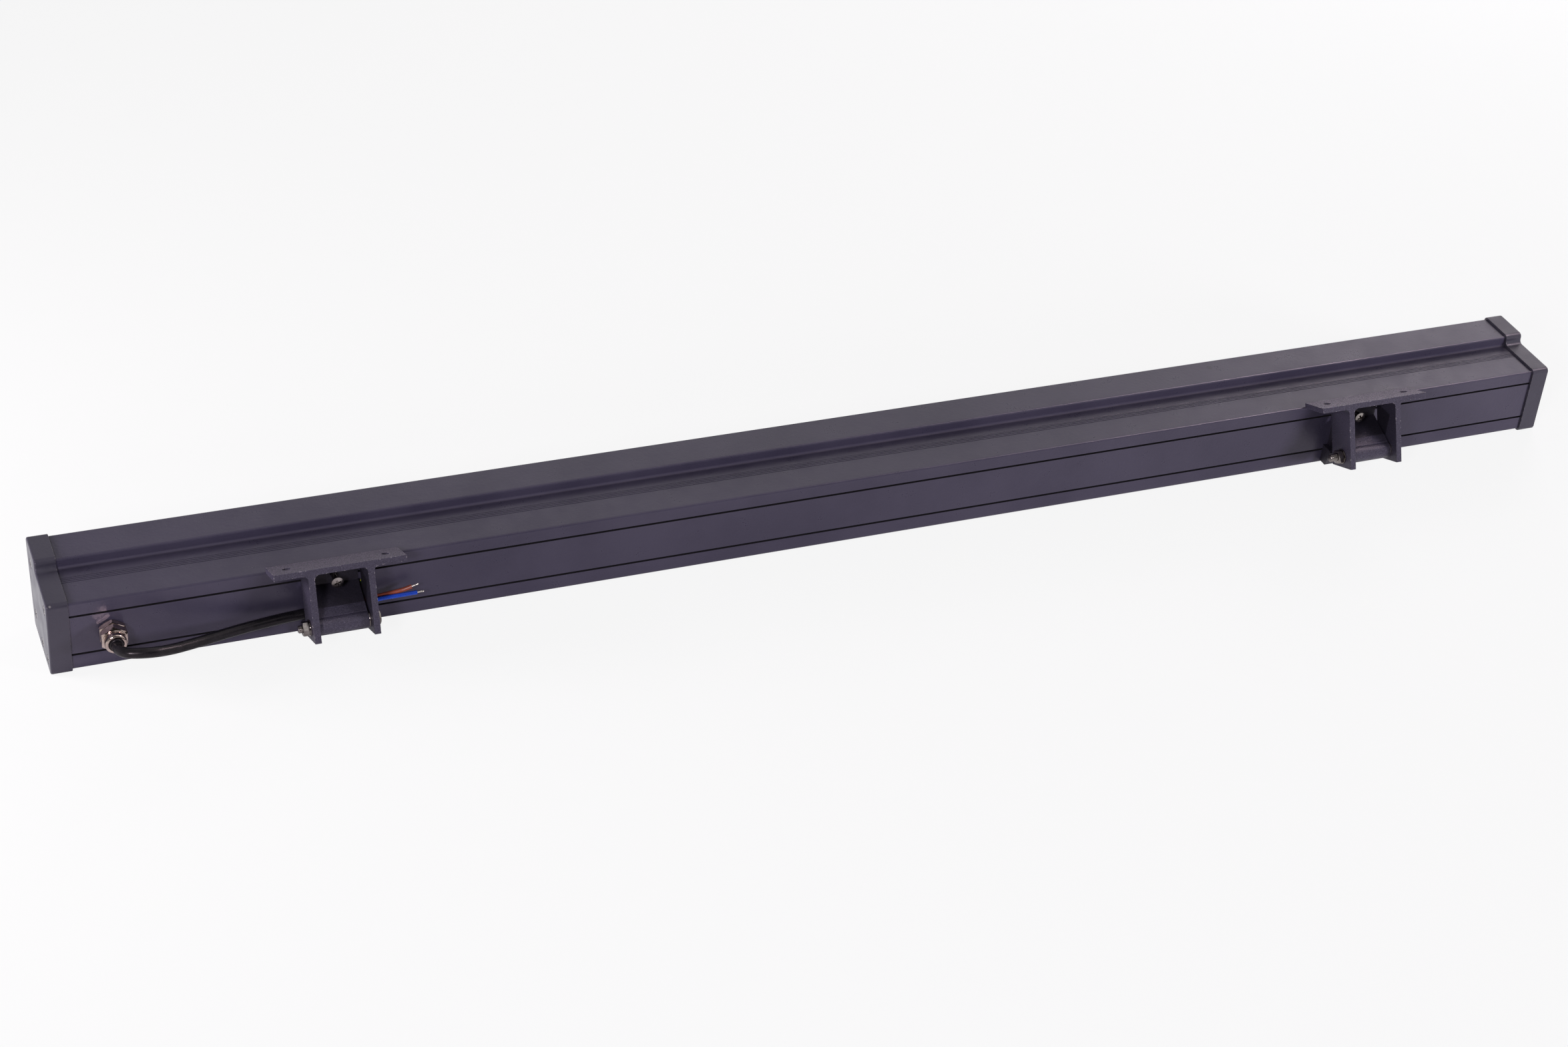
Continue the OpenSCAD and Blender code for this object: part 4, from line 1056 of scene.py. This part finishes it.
def bracketCoating():
    f = Finish("bracketCoating")
    place = f.place()
    sand = f.noise(place, features["sand"], 3.0, 0.65)
    coarse = f.noise(place, features["sandCoarse"], 2.0)
    tone = f.node("ShaderNodeValToRGB", {"stops": [
        (0.34, (0.016, 0.014, 0.024)), (0.5, (0.034, 0.030, 0.048)), (0.64, (0.06, 0.054, 0.078)),
        (0.76, (0.13, 0.12, 0.15))]}, {"Fac": sand})
    tone = f.blend(f.between(coarse, 0.35, 0.65) * bracketLook["coarseShare"], tone,
                   bracketLook["coarseColour"])
    # Between the legs the arms are hardly worn, and their webs get painted shade, darker as under
    # the plates; the plates' upward faces get painted light, paler to the right
    arms = shadedWebs = 0.0
    for pivot in pivots:
        across = ("X", pivot[0] - bracketLook["armHalf"], pivot[0] + bracketLook["armHalf"])
        upright = ("Z", bracketLook["floor"], bracketLook["armTop"])
        behind = ("Y", pivot[1] + bracketLook["webBehindPivot"], 0.0)
        arms = f.box(place, across, upright) + arms
        shadedWebs = f.box(place, across, behind, upright) + shadedWebs
    wear = edgeWear(f, bracketLook["wornEdge"]) * (f.noise(place, features["sandWear"], 2.0) > 0.6)
    tone = f.blend(wear * (1 - arms), tone, bracketLook["wornColour"])
    # Painted light: the plates' upward faces painted paler, more so to the right
    litTops = (f.axis(f.node("ShaderNodeNewGeometry", output=1), "Z") > 0.9) * (1 - arms)
    pale = f.between(f.axis(place, "X"), -0.4, 0.4, *bracketLook["topLitShares"])
    tone = f.blend(litTops * pale * f.between(sand, 0.42, 0.6), tone, bracketLook["topLitColour"])
    # Painted shade: the arms' webs painted darker under the plates
    tone = f.blend(shadedWebs * bracketLook["webShadeShare"], tone, bracketLook["webShadeColour"])
    rough = f.between(sand, *usual, 0.46, 0.32)
    normal = f.bump(sand, bracketLook["sandDepth"], f.bump(coarse, bracketLook["coarseDepth"]))
    return f.surface(Base_Color=tone, Roughness=rough, Normal=normal, Specular_Tint=coatingTint)


def plated(name, colour, shade, roughness):
    f = Finish(name)
    place = f.place()
    cloud = f.noise(place, features["metalCloud"], 3.0)
    fine = f.noise(place, features["metalGrain"], 3.0)
    tone = f.blend(f.between(cloud, 0.35, 0.7), colour, shade)
    rough = f.between(fine, *usual, roughness - 0.05, roughness + 0.08)
    return f.surface(Base_Color=tone, Metallic=1.0, Roughness=rough, Normal=f.bump(fine, 0.000012))


def moulded(name, colour, roughness, grain=0.0004, depth=0.00002, spread=0.15):
    f = Finish(name)
    place = f.place()
    cloud = f.noise(place, features["plasticCloud"], 2.0)
    fine = f.noise(place, grain, 2.0)
    tone = f.blend(f.between(cloud, *usual), [c * (1 - spread) for c in colour],
                   [min(1, c * (1 + spread)) for c in colour])
    rough = f.between(fine, *usual, roughness - 0.05, roughness + 0.05)
    return f.surface(Base_Color=tone, Roughness=rough, Normal=f.bump(fine, depth))


def cableSheath():
    f = Finish("blackRubber")
    place = f.place()
    ripple = f.noise(f.stretch(place, (1.0, 3.0, 3.0)), features["cableRipple"], 2.0)
    fine = f.noise(place, features["cableGrain"], 2.0)
    tone = f.blend(f.between(ripple, *usual), (0.004, 0.004, 0.005), (0.009, 0.008, 0.01))
    rough = f.between(fine, *usual, 0.26, 0.34)
    return f.surface(Base_Color=tone, Roughness=rough, Specular_IOR_Level=0.26,
                     Specular_Tint=(1.0, 0.86, 0.9, 1.0),
                     Normal=f.bump(fine, 0.000005, f.bump(ripple, 0.0001)))


def clearGlass(name, colour, roughness, ior):
    f = Finish(name)
    place = f.place()
    smear = f.noise(place, features["glassSmear"], 3.0)
    rough = f.between(smear, 0.4, 0.8, roughness, roughness + 0.03)
    tone = f.blend(f.between(smear, *usual), colour, [0.985 * c for c in colour])
    return f.surface(Base_Color=tone, Roughness=rough, Transmission_Weight=1.0, IOR=ior)


def earthSleeve():
    # Green with yellow stripes along the core
    f = Finish("earthInsulation")
    place = f.place()
    wave = f.node("ShaderNodeTexWave", {"wave_type": "BANDS", "bands_direction": "Y"}, {
        "Vector": place, "Scale": 260.0, "Distortion": 0.6})
    tone = f.blend(wave > 0.5, (0.03, 0.16, 0.03), (0.62, 0.5, 0.03))
    fine = f.noise(place, features["sleeveGrain"], 2.0)
    return f.surface(Base_Color=tone, Roughness=f.between(fine, *usual, 0.36, 0.46),
                     Normal=f.bump(fine, 0.00001))


def boardFace():
    # White solder mask over faint copper tracks
    f = Finish("boardWhite")
    place = f.place()
    tracks = f.node("ShaderNodeTexBrick", {"offset": 0.5}, {
        "Vector": place, "Scale": 60.0, "Mortar Size": 0.03, "Color1": (0.8, 0.81, 0.79),
        "Color2": (0.76, 0.77, 0.75), "Mortar": (0.62, 0.64, 0.6)})
    fine = f.noise(place, features["boardGrain"], 2.0)
    tone = f.blend(f.between(fine, 0.4, 0.7) * 0.2, tracks, (0.88, 0.88, 0.86))
    return f.surface(Base_Color=tone, Roughness=f.between(fine, *usual, 0.3, 0.42),
                     Normal=f.bump(fine, 0.00001))


finishes = {
    "case_coating": coating(
        "caseCoating", (0.032, 0.028, 0.048), (0.042, 0.037, 0.060), 0.00007, 0.29,
        marks=[caseLook["speck"], caseLook["dentShade"]], grooves=caseLook["grooveHeights"],
        corner=caseLook["stepFoot"]),
    "cap_coating": coating(
        "capCoating", (0.026, 0.024, 0.036), (0.034, 0.032, 0.045), 0.00005, 0.32,
        marks=[caseLook["capChip"]], wornAndLit=0.6),
    "bracket_coating": bracketCoating(),
    "gland_plating": plated("glandPlating", (0.4, 0.31, 0.28), (0.54, 0.44, 0.4), 0.13),
    "zinc_plate": plated("zincPlate", (0.2, 0.175, 0.165), (0.38, 0.34, 0.33), 0.15),
    "tray_sheet": plated("traySheet", (0.55, 0.56, 0.58), (0.68, 0.69, 0.71), 0.36),
    "black_rubber": cableSheath(),
    "window_clear": clearGlass("windowClear", (0.93, 0.98, 0.96), 0.0, 1.5),
    "lens_clear": clearGlass("lensClear", (0.97, 0.98, 0.98), 0.02, 1.49),
    "board_white": boardFace(),
    "lamp_yellow": moulded("lampYellow", (0.85, 0.6, 0.12), 0.35),
    "pad_grey": moulded("padGrey", (0.3, 0.31, 0.34), 0.7, 0.0008, 0.00004),
    "black_plastic": moulded("blackPlastic", (0.02, 0.02, 0.022), 0.5),
    "driver_case": moulded("driverCase", (0.6, 0.6, 0.57), 0.45, 0.0006, 0.00003, 0.05),
    "brown_insulation": moulded("brownInsulation", (0.25, 0.055, 0.03), 0.34),
    "blue_insulation": moulded("blueInsulation", (0.004, 0.045, 0.38), 0.3),
    "earth_insulation": earthSleeve(),
    "lead_insulation": moulded("leadInsulation", (0.2, 0.06, 0.05), 0.4),
    "tinned_copper": plated("tinnedCopper", (0.66, 0.58, 0.52), (0.78, 0.74, 0.7), 0.28),
}

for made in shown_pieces():
    slotName = made.get("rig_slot") or slotOf[made["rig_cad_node"]]
    made.data.materials.clear()
    made.data.materials.append(finishes[slotName])


# Studio: pale floor, soft light

studio = {
    "floorSize": 30.0,
    "floorDrop": 0.00005,
    "floorColour": (0.7, 0.7, 0.7),
    "floorGlow": 0.87,
    # Painted reflection: how much the floor glows in the coatings' mirror, to the right and beside the
    # left cap
    "floorBrightens": (-0.5, 0.9, 0.15, 0.9),
    "floorGlowAtLeft": 1.0,
    "skyBrightens": (0.05, 0.2, 0.2, 0.84),
    "skyForLight": 0.12,
}


def makeStudio():
    def slab(bm):
        half = studio["floorSize"] / 2
        corners = [bm.verts.new((x, y, -studio["floorDrop"])) for x, y in (
            (-half, -half), (half, -half), (half, half), (-half, half))]
        bm.faces.new(corners)
    floor = meshObject("floor", slab)
    f = Finish("floorPaper")
    grain = f.noise(f.place(), features["paperGrain"], 2.0)
    tone = f.blend(f.between(grain, *usual), studio["floorColour"],
                   [0.985 * c for c in studio["floorColour"]])
    paper = f.node("ShaderNodeBsdfPrincipled", {}, {"Base Color": tone, "Roughness": 0.9,
                                                    "Specular IOR Level": 0.1})
    glow = f.node("ShaderNodeEmission", {}, {"Color": (1, 1, 1), "Strength": 1.0})
    # Painted reflection: the floor glows brighter in what the coatings mirror, to the right and beside
    # the left cap
    across = f.axis(f.place(), "X")
    beside = (across < cadBox[0].x) * studio["floorGlowAtLeft"]
    mirrored = f.between(across, *studio["floorBrightens"]) + beside
    mix = f.node("ShaderNodeMixShader", {}, {
        0: f.showsWhite(mirrored) * studio["floorGlow"], 1: paper, 2: glow})
    f.node("ShaderNodeOutputMaterial", {}, {"Surface": mix})
    floor.data.materials.append(f.material)

    world = bpy.data.worlds.new("studio")
    bpy.context.scene.world = world
    world.use_nodes = True
    w = Finish("studio", world.node_tree)
    soft = w.node("ShaderNodeBackground", {}, {"Color": (1, 1, 1), "Strength": studio["skyForLight"]})
    white = w.node("ShaderNodeBackground", {}, {"Color": (1, 1, 1), "Strength": 1.0})
    mirrored = w.between(w.axis(w.node("ShaderNodeTexCoord"), "X"), *studio["skyBrightens"])
    mix = w.node("ShaderNodeMixShader", {}, {0: w.showsWhite(mirrored), 1: soft, 2: white})
    w.node("ShaderNodeOutputWorld", {}, {"Surface": mix})


def makeLamp(name, place, aim, size, watts, colour, mirrored=True, spread=True):
    # Some lamps only fill, and aren't mirrored; one only draws glints on rounded edges
    data = bpy.data.lights.new(name, "AREA")
    data.shape = "RECTANGLE"
    data.size, data.size_y = size
    data.energy = watts
    data.color = colour
    lamp = newObject(name, data)
    lamp.visible_glossy, lamp.visible_diffuse = mirrored, spread
    lamp.matrix_world = axisPlace(Vector(place), Vector(place) - Vector(aim))


def makeFlag(name, place, aim, size):
    # A black card out of shot, which coatings and metals mirror as their dark side
    def card(bm):
        turn = axisPlace(Vector(place), Vector(place) - Vector(aim))
        corners = [bm.verts.new(turn @ Vector((x * size[0] / 2, y * size[1] / 2, 0))) for x, y in (
            (-1, -1), (1, -1), (1, 1), (-1, 1))]
        bm.faces.new(corners)
    flag = meshObject(name, card)
    flag.visible_camera = False
    f = Finish("flagCloth")
    f.node("ShaderNodeOutputMaterial", {}, {"Surface": f.node("ShaderNodeBsdfDiffuse", {}, {
        "Color": (0.02, 0.02, 0.02)})})
    flag.data.materials.append(f.material)


makeStudio()
makeFlag("cameraFlag", (-0.3, -1.9, 1.1), (0, 0, 0.4), (3.2, 1.9))
makeLamp("key", (-1.3, -1.5, 1.1), (0, 0, 0), (0.35, 0.35), 24, (0.96, 0.93, 1.0))
makeLamp("rightFill", (1.6, -1.6, 0.5), (0.2, 0, 0.03), (0.6, 0.4), 40, (0.96, 0.92, 1.0),
         mirrored=False)
makeLamp("rightBack", (1.35, 1.2, 0.62), (0.3, 0, 0.04), (0.6, 0.4), 16, (1.0, 0.93, 1.0),
         mirrored=False)
makeLamp("rightGlow", (2.0, 1.6, 1.35), (0.4, 0, 0), (1.0, 1.0), 3.0, (1.0, 0.9, 0.98))
makeLamp("edgeLight", (1.2, -0.1, 1.5), (0.4, 0, 0), (0.7, 0.2), 13, (1.0, 0.86, 0.9), spread=False)
makeLamp("leftCard", (-1.05, 0.2, 0.2), (-0.5, 0.02, 0.03), (0.3, 0.3), 9.0, (1.0, 0.93, 0.98),
         mirrored=False)
print("studio lit")
